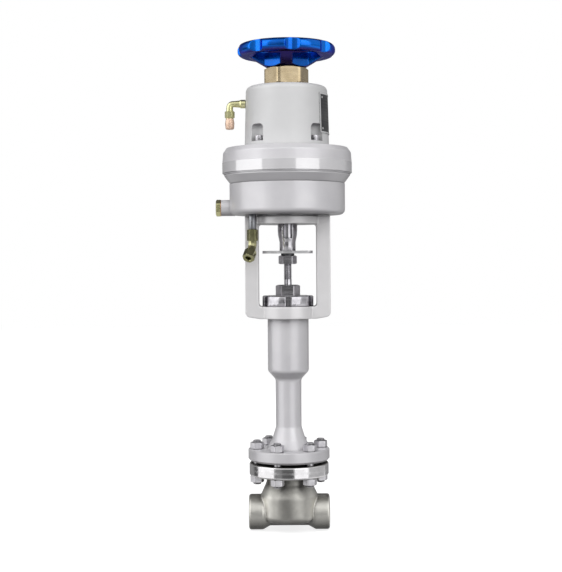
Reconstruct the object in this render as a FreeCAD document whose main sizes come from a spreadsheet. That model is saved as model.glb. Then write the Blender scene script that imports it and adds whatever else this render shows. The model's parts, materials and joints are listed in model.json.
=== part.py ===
"""Emergency shutoff valve: air-opened, spring-closed, with a long bonnet and a hand wheel.

Millimetres. The origin is the centre of the inlet mouth. +X runs along the flow to the outlet
and +Z runs up the stem. The valve is shown closed.
"""
import FreeCAD, Part
import math
import os

import Sketcher

doc = FreeCAD.newDocument("shutoff_valve")
sheet = doc.addObject("Spreadsheet::Sheet", "Sizes")

# Numbers that belong to a shape and not to this valve
SIXTH_TURN = 60.0
HEX_SIDES = 6
CORNER_PER_FLAT = 1 / math.cos(math.radians(30))
CHAMFER_SLOPE = math.tan(math.radians(30))
CHAMFER_REACH = 1.5
ALONG_Y = (0, 1, 0)
ALONG_X = (1, 0, 0)
UPRIGHT = (0, 0, 1)
QUARTER_TURN = 90
FULL_TURN = 360
CAP_HEAD_RATIO = 1.625
KEY_RATIO = 0.75


class Dim:
    """A size that carries both its number and its formula in the sheet."""

    def __init__(self, number, formula):
        self.number = float(number)
        self.formula = formula

    def __add__(self, other):
        other = as_dim(other)
        return Dim(self.number + other.number, f"({self.formula} + {other.formula})")

    def __radd__(self, other):
        return as_dim(other) + self

    def __sub__(self, other):
        other = as_dim(other)
        return Dim(self.number - other.number, f"({self.formula} - {other.formula})")

    def __rsub__(self, other):
        return as_dim(other) - self

    def __mul__(self, other):
        other = as_dim(other)
        return Dim(self.number * other.number, f"({self.formula} * {other.formula})")

    def __rmul__(self, other):
        return as_dim(other) * self

    def __truediv__(self, other):
        other = as_dim(other)
        return Dim(self.number / other.number, f"({self.formula} / {other.formula})")

    def __neg__(self):
        return Dim(-self.number, f"(0 - {self.formula})")


def as_dim(value):
    """A plain number as a size, and a size as it is."""
    if isinstance(value, Dim):
        return value
    return Dim(value, f"{float(value):.12g}" if value >= 0 else f"(0 - {-float(value):.12g})")


ZERO = as_dim(0)


def cosine(angle):
    return Dim(math.cos(math.radians(angle.number)), f"cos({angle.formula})")


def sine(angle):
    return Dim(math.sin(math.radians(angle.number)), f"sin({angle.formula})")


class Namespace(dict):
    """Sizes by name: size.wall instead of size["wall"]."""

    def __getattr__(self, name):
        return self[name]


# Driving sizes in millimetres, degrees and counts
SIZES = {
    # Fits shared by many pieces
    "fit_gap": 0.2,
    "run_gap": 0.3,
    "flat_gap": 0.1,
    "travel": 10,
    "cut_margin": 2,
    "fillet": 2,
    # Valve body
    "face_to_face": 120,
    "passage_diameter": 20,
    "socket_diameter": 34,
    "socket_depth": 13,
    "end_diameter": 52.4,
    "end_length": 21,
    "end_corner": 3.5,
    "shoulder_length": 10.3,
    "waist_diameter": 41,
    "bowl_diameter": 85,
    "bowl_depth": 13,
    "bowl_corner": 10,
    "bowl_wall_height": 25,
    "bowl_shoulder": 20,
    "bowl_shoulder_round": 14,
    "throat_diameter": 67,
    "body_height": 74,
    "body_flange_edge": 11,
    "body_flange_thickness": 18.5,
    "rim_chamfer": 1.5,
    "chamber_diameter": 44,
    "seat_bore": 22,
    "seat_height": 12,
    "seat_rise": 2,
    "seat_land": 3,
    "inlet_slope": 8,
    "outlet_slope": 40,
    "passage_overlap": 3,
    # Flange joint
    "flange_gap": 3.7,
    "gasket_margin": 3.5,
    "bolt_circle": 96,
    "bolt_start": 9,
    "bolt_count": 6,
    "stud_diameter": 12,
    "stud_hole": 13,
    "stud_end": 3,
    "nut_flats": 18,
    "nut_height": 10,
    "nut_chamfer": 1.2,
    # Bonnet
    "bonnet_flange_edge": 12.5,
    "bonnet_flange_thickness": 17.3,
    "bonnet_rim_chamfer": 3,
    "spigot_length": 7.7,
    "hub_diameter": 66,
    "hub_waist_diameter": 50,
    "hub_height": 13,
    "hub_taper": 19,
    "hub_fillet": 8,
    "neck_diameter": 38.3,
    "neck_length": 70.5,
    "head_taper": 12.5,
    "head_shoulder": 3.5,
    "head_length": 78,
    "bonnet_thread": 54,
    "bonnet_bore": 16,
    "guide_bush_diameter": 24,
    "guide_bush_length": 20,
    # Stem, disc and packing
    "stem_diameter": 12,
    "disc_diameter": 34,
    "disc_plate": 7,
    "disc_neck_diameter": 24,
    "disc_neck_height": 12,
    "disc_socket": 14,
    "seal_thickness": 3,
    "disc_spigot": 10,
    "disc_nut_flats": 16,
    "disc_nut_height": 6,
    "stuffing_bore": 22,
    "stuffing_depth": 63,
    "packing_washer_thickness": 3,
    "packing_ring_height": 7,
    "packing_rings": 4,
    "gland_bore": 28,
    "gland_depth": 20,
    "gland_thread_length": 18,
    "gland_nut_flats": 32,
    "gland_nut_height": 16,
    # Yoke
    "yoke_depth": 46,
    "yoke_base": 18,
    "yoke_leg": 20,
    "yoke_window": 122,
    "yoke_top": 12,
    "yoke_arm_slope": 3.5,
    "yoke_outer_corner": 8,
    "yoke_window_corner": 4,
    "yoke_hub_diameter": 84,
    "yoke_top_diameter": 100,
    "yoke_rod_hole": 34,
    "yoke_nut_wall": 11,
    "yoke_nut_room": 5,
    "yoke_nut_height": 16,
    "yoke_nut_slot": 8,
    "yoke_nut_slot_depth": 5,
    "yoke_screw_circle": 70,
    "yoke_screw_thread": 8,
    "yoke_screw_length": 16,
    "screw_count": 4,
    # Coupling and travel plate
    "coupling_diameter": 29,
    "coupling_foot_diameter": 24,
    "coupling_height": 41,
    "coupling_foot": 13,
    "coupling_taper": 13,
    "coupling_slot": 13,
    "coupling_slot_depth": 22.5,
    "coupling_stem_socket": 12,
    "coupling_pin": 6,
    "coupling_pin_length": 26,
    "coupling_pin_depth": 14,
    "plate_length": 75,
    "plate_width": 16,
    "plate_thickness": 4,
    "lock_collar_diameter": 20,
    "lock_collar_height": 3,
    "lock_nut_flats": 24,
    "lock_nut_height": 13,
    # Lower cylinder
    "cylinder_pad_diameter": 92,
    "cylinder_pad": 2,
    "drum_step": 10.5,
    "drum_height": 46,
    "drum_corner": 8,
    "drum_neck_step": 1.5,
    "drum_flare": 12,
    "drum_rim_step": 3,
    "drum_rim": 2,
    "cylinder_wall": 10,
    "cylinder_floor": 16,
    "cylinder_spigot": 12,
    "cover_seal_width": 4,
    "cover_seal_depth": 2.4,
    "cover_seal_margin": 3,
    "rod_bush_diameter": 30,
    "rod_bush_length": 10,
    # Cover and spring housing
    "cover_diameter": 193,
    "cover_wall": 8.5,
    "cover_height": 39,
    "cover_step": 2,
    "cover_step_height": 2,
    "cover_band": 17,
    "cover_taper": 1.2,
    "cover_wall_height": 32,
    "cover_top_step": 6,
    "cover_shoulder": 5,
    "housing_diameter": 126,
    "housing_draft": 2.5,
    "housing_wall": 17,
    "housing_height": 92,
    "housing_corner": 8,
    "housing_roof": 15,
    "housing_screw_inset": 6,
    "pocket_inset": 2.5,
    "pocket_diameter": 24,
    "pocket_floor": 8,
    "pocket_height": 25,
    "pocket_corner": 7,
    "housing_screw_thread": 8,
    "housing_screw_length": 20,
    "housing_screw_start": 45,
    "top_bush_diameter": 24,
    "spring_plate_thickness": 4,
    "spring_wire": 9,
    "spring_turns": 6,
    "spring_play": 3,
    # Piston and rod
    "rod_diameter": 20,
    "rod_thread": 16,
    "piston_floor_gap": 3,
    "piston_height": 24,
    "piston_web": 12,
    "piston_hub_diameter": 48,
    "piston_rim": 15,
    "piston_ring_height": 4,
    "piston_ring_depth": 3.5,
    "piston_seal_level": 8,
    "piston_guide_level": 17,
    "piston_nut_flats": 24,
    "piston_nut_height": 13,
    "stop_sleeve_wall": 4,
    # Hand wheel
    "drive_nut_flats": 58.5,
    "drive_nut_start": 8,
    "drive_nut_height": 28,
    "thrust_washer_diameter": 58,
    "thrust_washer_thickness": 2,
    "wheel_diameter": 146,
    "wheel_height": 35,
    "wheel_rim_height": 18,
    "wheel_rim_width": 17,
    "wheel_rim_round": 8,
    "wheel_hub_diameter": 56,
    "wheel_hub_height": 22,
    "wheel_spoke_width": 18,
    "wheel_spoke_height": 10,
    "wheel_spokes": 4,
    "wheel_lobes": 8,
    "wheel_lobe_start": 7,
    "wheel_notch_radius": 15,
    "wheel_notch_depth": 6.5,
    "wheel_window_inset": 4,
    "wheel_window_crown": 0.81,
    "wheel_bore": 28,
    "wheel_washer_diameter": 42,
    "wheel_washer_thickness": 2,
    "wheel_nut_flats": 36,
    "wheel_nut_height": 8,
    # Breather
    "breather_level": 67,
    "breather_thread": 10,
    "breather_root_diameter": 12.8,
    "breather_end_diameter": 9,
    "breather_arm": 22,
    "breather_leg": 11,
    "breather_leg_diameter": 10,
    "breather_nut_flats": 13,
    "breather_nut_height": 10,
    "silencer_diameter": 14,
    "silencer_height": 17,
    "silencer_round": 3,
    # Fusible plug port
    "port_level": 11,
    "port_boss_diameter": 24,
    "port_boss_length": 12.4,
    "port_thread": 16,
    "port_thread_depth": 14,
    "port_drill": 5,
    "plug_washer_thickness": 1,
    "plug_flats": 22,
    "plug_head": 7,
    "plug_thread_length": 12,
    "plug_core_diameter": 8,
    "plug_core_depth": 1.5,
    # Air inlet fitting
    "inlet_side": 51.5,
    "inlet_front": 36,
    "inlet_thread": 10,
    "inlet_thread_length": 8,
    "nipple_diameter": 11,
    "nipple_length": 22,
    "elbow_hex_flats": 14.2,
    "elbow_hex_height": 17,
    "elbow_drop": 8,
    "elbow_diameter": 12,
    "elbow_tilt": 45,
    "elbow_turn": 20,
    "elbow_arm": 10,
    "union_flats": 16,
    "union_length": 15,
    "tube_bore": 8,
    "tube_depth": 12,
}

size = Namespace()
for row, (name, value) in enumerate(SIZES.items(), start=1):
    sheet.set(f"A{row}", name.replace("_", " "))
    sheet.set(f"B{row}", str(value))
    sheet.setAlias(f"B{row}", name)
    size[name] = Dim(value, f"Sizes.{name}")
doc.recompute()

# Levels above the flow axis that several pieces share
bonnet_level = size.body_height + size.flange_gap
bonnet_flange_top = bonnet_level + size.bonnet_flange_thickness
neck_level = bonnet_flange_top + size.hub_height + size.hub_taper
head_level = neck_level + size.neck_length + size.head_taper
yoke_level = head_level + size.head_length
yoke_nut_level = yoke_level + size.yoke_base
gland_level = yoke_nut_level + size.yoke_nut_height
window_top = yoke_nut_level + size.yoke_window
cylinder_level = window_top + size.yoke_top
chamber_floor = cylinder_level + size.cylinder_pad + size.cylinder_floor
cover_level = (
    cylinder_level + size.cylinder_pad + size.drum_height + size.drum_flare + size.drum_rim
)
spigot_top = cover_level + size.cylinder_spigot
housing_level = cover_level + size.cover_height
housing_ceiling = housing_level + size.housing_height - size.housing_roof
housing_top = housing_level + size.housing_height
wheel_level = housing_top + size.drive_nut_height
wheel_top = wheel_level + size.wheel_height
piston_level = chamber_floor + size.piston_floor_gap
piston_top = piston_level + size.piston_height
coupling_top = cylinder_level - size.travel - size.run_gap
coupling_level = coupling_top - size.coupling_height
coupling_pin_level = coupling_top - size.coupling_pin_depth
seal_level = size.seat_height + size.flat_gap
disc_level = seal_level + size.seal_thickness
stem_foot = disc_level + size.disc_plate + size.disc_neck_height - size.disc_socket
stem_axis = size.face_to_face / 2
drive_bore = size.rod_thread + size.run_gap * 2
port_height = cylinder_level + size.cylinder_pad + size.port_level
breather_height = housing_level + size.breather_level

# Radii that follow from the joints between the pieces
body_flange_edge = size.bolt_circle / 2 + size.body_flange_edge
bonnet_flange_edge = size.bolt_circle / 2 + size.bonnet_flange_edge
bonnet_head = size.bonnet_thread / 2 + size.head_shoulder
yoke_nut_edge = size.bonnet_thread / 2 + size.yoke_nut_wall
window_edge = yoke_nut_edge + size.yoke_nut_room
spigot_edge = size.cover_diameter / 2 - size.cover_wall
cylinder_bore = spigot_edge - size.cylinder_wall
drum_edge = size.cover_diameter / 2 - size.drum_step
spring_room = size.housing_diameter / 2 - size.housing_wall
screw_reach = size.housing_diameter / 2 - size.housing_screw_inset
pocket_reach = size.housing_diameter / 2 - size.pocket_inset
breather_reach = size.housing_diameter / 2 + size.breather_arm
port_reach = drum_edge + size.port_boss_length

pieces = []


def keep(item, label):
    """Name a finished piece and put it on the list of pieces to write."""
    item.Label = label
    pieces.append(item)
    return item


def bind(item, **formulas):
    """Tie properties of one object to the sheet."""
    for name, value in formulas.items():
        item.setExpression(name.replace("__", "."), as_dim(value).formula)


def put(item, x=ZERO, y=ZERO, z=ZERO, axis=None, angle=0):
    """Place an object by sheet sizes, turned about one axis."""
    if axis is not None:
        turn = FreeCAD.Rotation(FreeCAD.Vector(*axis), as_dim(angle).number)
        item.Placement = FreeCAD.Placement(FreeCAD.Vector(), turn)
        bind(item, Placement__Rotation__Angle=angle)
    bind(item, Placement__Base__x=x, Placement__Base__y=y, Placement__Base__z=z)
    return item


def new_body(name, level=ZERO, **where):
    """A body on the stem axis, with its own zero at the given level."""
    body = doc.addObject("PartDesign::Body", name)
    body.AllowCompound = True
    put(body, x=stem_axis, z=level, **where)
    return body


def origin_part(body, role):
    return next(item for item in body.Origin.OriginFeatures if item.Role == role)


def new_sketch(body, name, plane, offset=ZERO):
    """A sketch on one of the body's planes, moved along the plane's normal."""
    sketch = body.newObject("Sketcher::SketchObject", name)
    sketch.AttachmentSupport = (origin_part(body, plane), "")
    sketch.MapMode = "FlatFace"
    bind(sketch, AttachmentOffset__Base__z=offset)
    return sketch


def tie_point(sketch, edge, end, x, y):
    """Hold one end of an edge at sheet sizes from the sketch's centre."""
    for kind, value, axis in (("DistanceX", x, -2), ("DistanceY", y, -1)):
        if value.formula == ZERO.formula:
            sketch.addConstraint(Sketcher.Constraint("PointOnObject", edge, end, axis))
            continue
        index = sketch.addConstraint(Sketcher.Constraint(kind, -1, 1, edge, end, value.number))
        sketch.setExpression(f"Constraints[{index}]", value.formula)


def flat(point):
    return FreeCAD.Vector(point[0].number, point[1].number, 0)


def towards(start, end):
    step = flat(end) - flat(start)
    return step.normalize()


def moved(point, direction, reach):
    """The point moved along a direction by a size, leaving out directions that are zero."""
    result = []
    for place, part in zip(point, (direction.x, direction.y)):
        result.append(place if abs(part) < 1e-9 else place + reach * round(part, 12))
    return tuple(result)


def outline(sketch, corners):
    """Draw a closed outline through corners (x, y), or (x, y, radius) for a rounded one."""
    points = [(as_dim(corner[0]), as_dim(corner[1])) for corner in corners]
    spans = []
    for index, corner in enumerate(corners):
        point = points[index]
        if len(corner) == 2:
            spans.append((point, point, None, None))
            continue
        back = towards(point, points[index - 1])
        ahead = towards(point, points[(index + 1) % len(points)])
        half = back.getAngle(ahead) / 2
        radius = as_dim(corner[2])
        reach = radius / round(math.tan(half), 12)
        middle = flat(point) + (back + ahead).normalize() * radius.number * (1 / math.sin(half) - 1)
        spans.append((moved(point, back, reach), moved(point, ahead, reach), middle, radius))
    for index, (start, end, middle, radius) in enumerate(spans):
        if radius is not None:
            # A sketch counts an arc's ends anticlockwise
            leftward = (middle - flat(start)).cross(flat(end) - middle).z > 0
            first, last = (start, end) if leftward else (end, start)
            edge = sketch.addGeometry(Part.Arc(flat(first), middle, flat(last)))
            tie_point(sketch, edge, 1, *first)
            tie_point(sketch, edge, 2, *last)
            tie = sketch.addConstraint(Sketcher.Constraint("Radius", edge, radius.number))
            sketch.setExpression(f"Constraints[{tie}]", radius.formula)
        after = spans[(index + 1) % len(spans)][0]
        if flat(end).distanceToPoint(flat(after)) > 1e-6:
            edge = sketch.addGeometry(Part.LineSegment(flat(end), flat(after)))
            tie_point(sketch, edge, 1, *end)
            tie_point(sketch, edge, 2, *after)


def circle(sketch, x, y, radius):
    """Draw a circle at sheet sizes."""
    x, y, radius = as_dim(x), as_dim(y), as_dim(radius)
    edge = sketch.addGeometry(Part.Circle(flat((x, y)), FreeCAD.Vector(0, 0, 1), radius.number))
    tie_point(sketch, edge, 3, x, y)
    tie = sketch.addConstraint(Sketcher.Constraint("Radius", edge, radius.number))
    sketch.setExpression(f"Constraints[{tie}]", radius.formula)


def hexagon(sketch, flats, x=ZERO):
    """Draw a hexagon across the given flats, with two corners along the sketch's X."""
    reach = as_dim(flats) * (CORNER_PER_FLAT / 2)
    corners = []
    for side in range(HEX_SIDES):
        angle = math.radians(side * SIXTH_TURN)
        corners.append((x + reach * round(math.cos(angle), 12), reach * round(math.sin(angle), 12)))
    outline(sketch, corners)


def turn(body, name, corners, kind="Revolution", axis="V_Axis"):
    """Revolve, or groove, an outline of (radius, height) corners about an axis of the body."""
    sketch = new_sketch(body, f"{name}_outline", "XZ_Plane")
    outline(sketch, corners)
    feature = body.newObject(f"PartDesign::{kind}", name)
    feature.Profile = sketch
    feature.ReferenceAxis = (sketch, [axis])
    feature.Angle = 360
    doc.recompute()
    return feature


def pad(body, name, level, height, draw, kind="Pad", plane="XY_Plane", midplane=False):
    """Pad, or pocket, what draw puts in a sketch at the given level."""
    sketch = new_sketch(body, f"{name}_outline", plane, level)
    draw(sketch)
    feature = body.newObject(f"PartDesign::{kind}", name)
    feature.Profile = sketch
    if midplane:
        feature.SideType = "Symmetric"
    bind(feature, Length=height)
    doc.recompute()
    return feature


def polar(body, name, feature, count, angle=360):
    """Repeat a feature about the body's Z axis."""
    pattern = body.newObject("PartDesign::PolarPattern", name)
    pattern.Originals = [feature]
    pattern.Axis = (origin_part(body, "Z_Axis"), [""])
    pattern.Angle = angle
    bind(pattern, Occurrences=count)
    body.Tip = pattern
    doc.recompute()
    return pattern


def ring(label, level, outer, inner, height, chamfer=None):
    """A plain turned ring, with its edges broken where a chamfer is given."""
    body = new_body(label, level)
    outer, inner = as_dim(outer) / 2, as_dim(inner) / 2
    corners = [(inner, ZERO), (outer, ZERO), (outer, height), (inner, height)]
    if chamfer is not None:
        corners = [
            (inner, ZERO), (outer - chamfer, ZERO), (outer, chamfer),
            (outer, height - chamfer), (outer - chamfer, height), (inner, height),
        ]
    turn(body, "turned", corners)
    return keep(body, label)


def hex_nut(label, level, flats, height, bore, chamfer=None, start=ZERO):
    """A hexagon nut on the stem axis with its corners chamfered top and bottom."""
    body = new_body(label, level, axis=(0, 0, 1), angle=start)
    nut_features(body, ZERO, flats, height, bore, ZERO, chamfer)
    return keep(body, label)


def nut_features(body, level, flats, height, bore, x, chamfer=None):
    """Pad a nut at radius x in a body and return its features."""
    def shape(sketch):
        hexagon(sketch, flats, x)
        circle(sketch, x, ZERO, bore / 2)
    nut = pad(body, "nut", level, height, shape)
    if chamfer is None:
        return nut
    corner = as_dim(flats) * (CORNER_PER_FLAT / 2)
    for name, end, side in (("lower_chamfer", level, 1), ("upper_chamfer", level + height, -1)):
        reach = chamfer * CHAMFER_REACH
        drop = (chamfer + reach) * CHAMFER_SLOPE * side
        turn(body, name, [(corner - reach, end), (corner + chamfer, end), (corner + chamfer, end + drop)],
             kind="Groove")
    return nut


def solid(kind, name, **values):
    """A Part primitive tied to the sheet."""
    item = doc.addObject(f"Part::{kind}", name)
    bind(item, **values)
    return item


def joined(kind, name, items):
    """Fuse or intersect several objects."""
    result = doc.addObject(f"Part::{kind}", name)
    result.Shapes = items
    doc.recompute()
    return result


def less(name, base, tool):
    """One object with another cut from it."""
    result = doc.addObject("Part::Cut", name)
    result.Base = base
    result.Tool = tool
    doc.recompute()
    return result


def bolt_pattern(body, name, level, height, diameter, kind="Pocket", upward=False):
    """Round holes or bars on the bolt circle of the flange joint."""
    feature = pad(
        body, name, level, height,
        lambda sketch: circle(sketch, size.bolt_circle / 2, ZERO, diameter / 2),
        kind=kind,
    )
    if upward:
        feature.Reversed = True
    return polar(body, f"{name}_pattern", feature, size.bolt_count)


def valve_body():
    half = size.face_to_face / 2
    end = size.end_diameter / 2
    waist = size.waist_diameter / 2
    bowl = size.bowl_diameter / 2

    # The straight run: two pipe ends and the narrower waist between them
    shoulder = half - size.end_length
    inner = shoulder - size.shoulder_length
    run = new_body("run")
    turn(run, "run_turned", [
        (-half, ZERO), (-half, end, size.end_corner), (-shoulder, end, size.end_corner),
        (-inner, waist), (inner, waist), (shoulder, end, size.end_corner),
        (half, end, size.end_corner), (half, ZERO),
    ], axis="H_Axis")

    # The round bowl narrows to a throat under the body flange
    throat = size.throat_diameter / 2
    soft = size.bowl_shoulder_round
    wall_top = size.bowl_wall_height
    flange = body_flange_edge
    rim = size.rim_chamfer
    flange_low = size.body_height - size.body_flange_thickness
    bowl_body = new_body("bowl")
    turn(bowl_body, "bowl_turned", [
        (ZERO, -size.bowl_depth), (bowl, -size.bowl_depth, size.bowl_corner), (bowl, wall_top, soft),
        (throat, wall_top + size.bowl_shoulder, soft), (throat, flange_low),
        (flange - rim, flange_low), (flange, flange_low + rim),
        (flange, size.body_height - rim), (flange - rim, size.body_height), (ZERO, size.body_height),
    ])
    casting = joined("MultiFuse", "casting", [run, bowl_body])

    # The way through: socket, sloping passage, seat, chamber, sloping passage, socket
    bore = size.seat_bore / 2
    land = bore + size.seat_land
    chamber = size.chamber_diameter / 2
    floor = size.seat_height - size.seat_rise
    seat = new_body("seat")
    turn(seat, "seat_turned", [
        (ZERO, -bore / 2), (bore, -bore / 2), (bore, size.seat_height), (land, size.seat_height),
        (land, floor), (chamber, floor), (chamber, size.body_height + size.cut_margin),
        (ZERO, size.body_height + size.cut_margin),
    ])
    tools = [seat]
    socket = size.socket_depth + size.cut_margin
    for side, name in ((-1, "inlet"), (1, "outlet")):
        tool = solid("Cylinder", f"{name}_socket", Radius=size.socket_diameter / 2, Height=socket)
        mouth = stem_axis + (half + size.cut_margin) * side
        tools.append(put(tool, x=mouth, axis=ALONG_Y, angle=as_dim(QUARTER_TURN) * -side))
    run_in = half - size.socket_depth
    overlap = size.passage_overlap
    inlet = solid("Cylinder", "inlet_passage", Radius=size.passage_diameter / 2, Height=run_in + overlap)
    put(
        inlet,
        x=stem_axis - run_in - overlap * cosine(size.inlet_slope),
        z=overlap * sine(size.inlet_slope),
        axis=ALONG_Y, angle=size.inlet_slope + QUARTER_TURN,
    )
    outlet = solid(
        "Cylinder", "outlet_passage",
        Radius=size.passage_diameter / 2,
        Height=(run_in - chamber) / cosine(size.outlet_slope) + overlap * 2,
    )
    put(
        outlet,
        x=stem_axis + run_in + overlap * cosine(size.outlet_slope),
        z=-(overlap * sine(size.outlet_slope)),
        axis=ALONG_Y, angle=size.outlet_slope - QUARTER_TURN,
    )
    holes = new_body("body_flange_holes", axis=UPRIGHT, angle=size.bolt_start)
    bolt_pattern(holes, "hole", flange_low - size.cut_margin,
                 size.body_flange_thickness + size.cut_margin * 2, size.stud_hole, kind="Pad")
    tools += [inlet, outlet, holes]
    keep(less("valve_body", casting, joined("MultiFuse", "passages", tools)), "valve_body")


def flange_joint():
    chamber = size.chamber_diameter + size.cut_margin
    gasket = size.bolt_circle - size.stud_hole - size.gasket_margin * 2
    ring("body_gasket", size.body_height, gasket, chamber, size.flange_gap)

    flange_low = size.body_height - size.body_flange_thickness
    grip = bonnet_flange_top - flange_low
    stud_low = flange_low - size.nut_height - size.stud_end
    studs = new_body("bonnet_studs", stud_low, axis=UPRIGHT, angle=size.bolt_start)
    bolt_pattern(studs, "stud", ZERO, grip + (size.nut_height + size.stud_end) * 2,
                 size.stud_diameter, kind="Pad")
    keep(studs, "bonnet_studs")

    bore = size.stud_diameter + size.fit_gap
    for label, level in (
        ("bonnet_nuts", bonnet_flange_top),
        ("body_flange_nuts", flange_low - size.nut_height),
    ):
        nuts = new_body(label, level, axis=UPRIGHT, angle=size.bolt_start)
        nut = nut_features(nuts, ZERO, size.nut_flats, size.nut_height, bore, size.bolt_circle / 2)
        polar(nuts, "nut_pattern", nut, size.bolt_count)
        keep(nuts, label)


def bonnet():
    level = bonnet_level
    flange = bonnet_flange_edge
    hub = size.hub_diameter / 2
    hub_waist = size.hub_waist_diameter / 2
    neck = size.neck_diameter / 2
    head = bonnet_head
    thread = size.bonnet_thread / 2
    bore = size.bonnet_bore / 2
    bush = size.guide_bush_diameter / 2
    stuffing = size.stuffing_bore / 2
    gland = size.gland_bore / 2
    spigot = size.chamber_diameter / 2 - size.fit_gap
    rim = size.bonnet_rim_chamfer
    top = gland_level - level
    flange_top = size.bonnet_flange_thickness
    hub_top = flange_top + size.hub_height
    bush_top = size.guide_bush_length - size.spigot_length
    stuffing_floor = top - size.stuffing_depth
    body = new_body("bonnet", level, axis=UPRIGHT, angle=size.bolt_start)
    turn(body, "bonnet_turned", [
        (bush, -size.spigot_length), (spigot, -size.spigot_length), (spigot, ZERO),
        (flange - rim, ZERO), (flange, rim), (flange, flange_top - size.rim_chamfer),
        (flange - size.rim_chamfer, flange_top), (hub, flange_top),
        (hub_waist, hub_top, size.hub_fillet), (neck, hub_top + size.hub_taper, size.hub_fillet),
        (neck, head_level - level - size.head_taper, size.hub_fillet),
        (head, head_level - level, size.hub_fillet),
        (head, yoke_level - level), (thread, yoke_level - level), (thread, top),
        (gland, top), (gland, top - size.gland_depth), (stuffing, top - size.gland_depth),
        (stuffing, stuffing_floor), (bore, stuffing_floor), (bore, bush_top), (bush, bush_top),
    ])
    bolt_pattern(body, "hole", flange_top + size.cut_margin,
                 flange_top + size.cut_margin * 2, size.stud_hole)
    keep(body, "bonnet")
    stem_hole = size.stem_diameter + size.run_gap * 2
    ring("stem_guide_bush", level - size.spigot_length, size.guide_bush_diameter, stem_hole,
         size.guide_bush_length)


def stem_seals():
    hole = size.stem_diameter + size.run_gap * 2
    bore = size.stuffing_bore - size.fit_gap
    floor = gland_level - size.stuffing_depth
    ring("packing_washer", floor, bore, hole, size.packing_washer_thickness)
    level = floor + size.packing_washer_thickness
    rings = new_body("packing_rings", level)
    for index in range(round(size.packing_rings.number)):
        low = size.packing_ring_height * index
        high = low + size.packing_ring_height - size.flat_gap
        turn(rings, f"ring_{index + 1}", [
            (hole / 2, low), (bore / 2, low), (bore / 2, high), (hole / 2, high)])
    keep(rings, "packing_rings")
    level = level + size.packing_ring_height * size.packing_rings
    nut_foot = gland_level - size.gland_thread_length
    ring("gland_follower", level, bore, hole, nut_foot - level)

    nut = new_body("gland_nut", gland_level)
    nut_features(nut, ZERO, size.gland_nut_flats, size.gland_nut_height, hole, ZERO, size.nut_chamfer)
    thread = size.gland_bore / 2 - size.fit_gap
    turn(nut, "thread", [
        (hole / 2, -size.gland_thread_length), (thread, -size.gland_thread_length),
        (thread, ZERO), (hole / 2, ZERO)])
    keep(nut, "gland_nut")


def yoke():
    half = window_edge + size.yoke_leg
    hub = size.yoke_hub_diameter / 2
    corner = size.yoke_outer_corner
    height = cylinder_level - yoke_level
    window_high = size.yoke_base + size.yoke_window
    body = new_body("yoke", yoke_level)

    def frame(sketch):
        outline(sketch, [
            (-hub, ZERO), (hub, ZERO), (half, size.yoke_arm_slope, corner), (half, height),
            (-half, height), (-half, size.yoke_arm_slope, corner),
        ])
        round_in = size.yoke_window_corner
        outline(sketch, [
            (-window_edge, size.yoke_base, round_in), (window_edge, size.yoke_base, round_in),
            (window_edge, window_high, round_in), (-window_edge, window_high, round_in),
        ])

    pad(body, "frame", ZERO, size.yoke_depth, frame, plane="XZ_Plane", midplane=True)
    pad(body, "base_hub", ZERO, size.yoke_base, lambda sketch: circle(sketch, 0, 0, hub))
    pad(body, "top_plate", window_high, size.yoke_top,
        lambda sketch: circle(sketch, 0, 0, size.yoke_top_diameter / 2))
    pad(body, "bonnet_hole", size.yoke_base, size.yoke_base,
        lambda sketch: circle(sketch, 0, 0, size.bonnet_thread / 2 + size.fit_gap), kind="Pocket")
    pad(body, "rod_hole", height, size.yoke_top,
        lambda sketch: circle(sketch, 0, 0, size.yoke_rod_hole / 2), kind="Pocket")
    thread_depth = size.yoke_top - size.cut_margin
    hole = pad(
        body, "screw_hole", height, thread_depth,
        lambda sketch: circle(sketch, size.yoke_screw_circle / 2, 0,
                              (size.yoke_screw_thread + size.fit_gap) / 2),
        kind="Pocket",
    )
    polar(body, "screw_hole_pattern", hole, size.screw_count)
    keep(body, "yoke")

    # The round lock nut has slots for a hook spanner
    nut = new_body("yoke_nut", yoke_nut_level)
    edge = yoke_nut_edge
    bore = size.bonnet_thread / 2 + size.fit_gap
    rim = size.rim_chamfer
    turn(nut, "turned", [
        (bore, ZERO), (edge, ZERO), (edge, size.yoke_nut_height - rim),
        (edge - rim, size.yoke_nut_height), (bore, size.yoke_nut_height)])
    slot_half = size.yoke_nut_slot / 2
    slot_foot = edge - size.yoke_nut_slot_depth

    def slot(sketch):
        outline(sketch, [
            (-slot_half, -slot_foot), (-slot_half, -(edge + size.cut_margin)),
            (slot_half, -(edge + size.cut_margin)), (slot_half, -slot_foot)])

    cut = pad(nut, "slot", size.yoke_nut_height, size.yoke_nut_height, slot, kind="Pocket")
    polar(nut, "slot_pattern", cut, HEX_SIDES)
    keep(nut, "yoke_nut")


def cap_screws(label, level, circle_diameter, thread, length, start):
    """Socket head cap screws on a circle, their heads standing on the given level."""
    at = circle_diameter / 2
    head = as_dim(thread) * CAP_HEAD_RATIO
    body = new_body(label, level, axis=UPRIGHT, angle=start)
    shank = pad(body, "shank", -length, length, lambda sketch: circle(sketch, at, 0, thread / 2))
    polar(body, "shank_pattern", shank, size.screw_count)
    key = as_dim(thread) * KEY_RATIO

    def head_shape(sketch):
        circle(sketch, at, 0, head / 2)

    top = pad(body, "head", ZERO, thread, head_shape)
    polar(body, "head_pattern", top, size.screw_count)
    recess = pad(body, "key", thread, thread / 2, lambda sketch: hexagon(sketch, key, at), kind="Pocket")
    polar(body, "key_pattern", recess, size.screw_count)
    keep(body, label)


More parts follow.
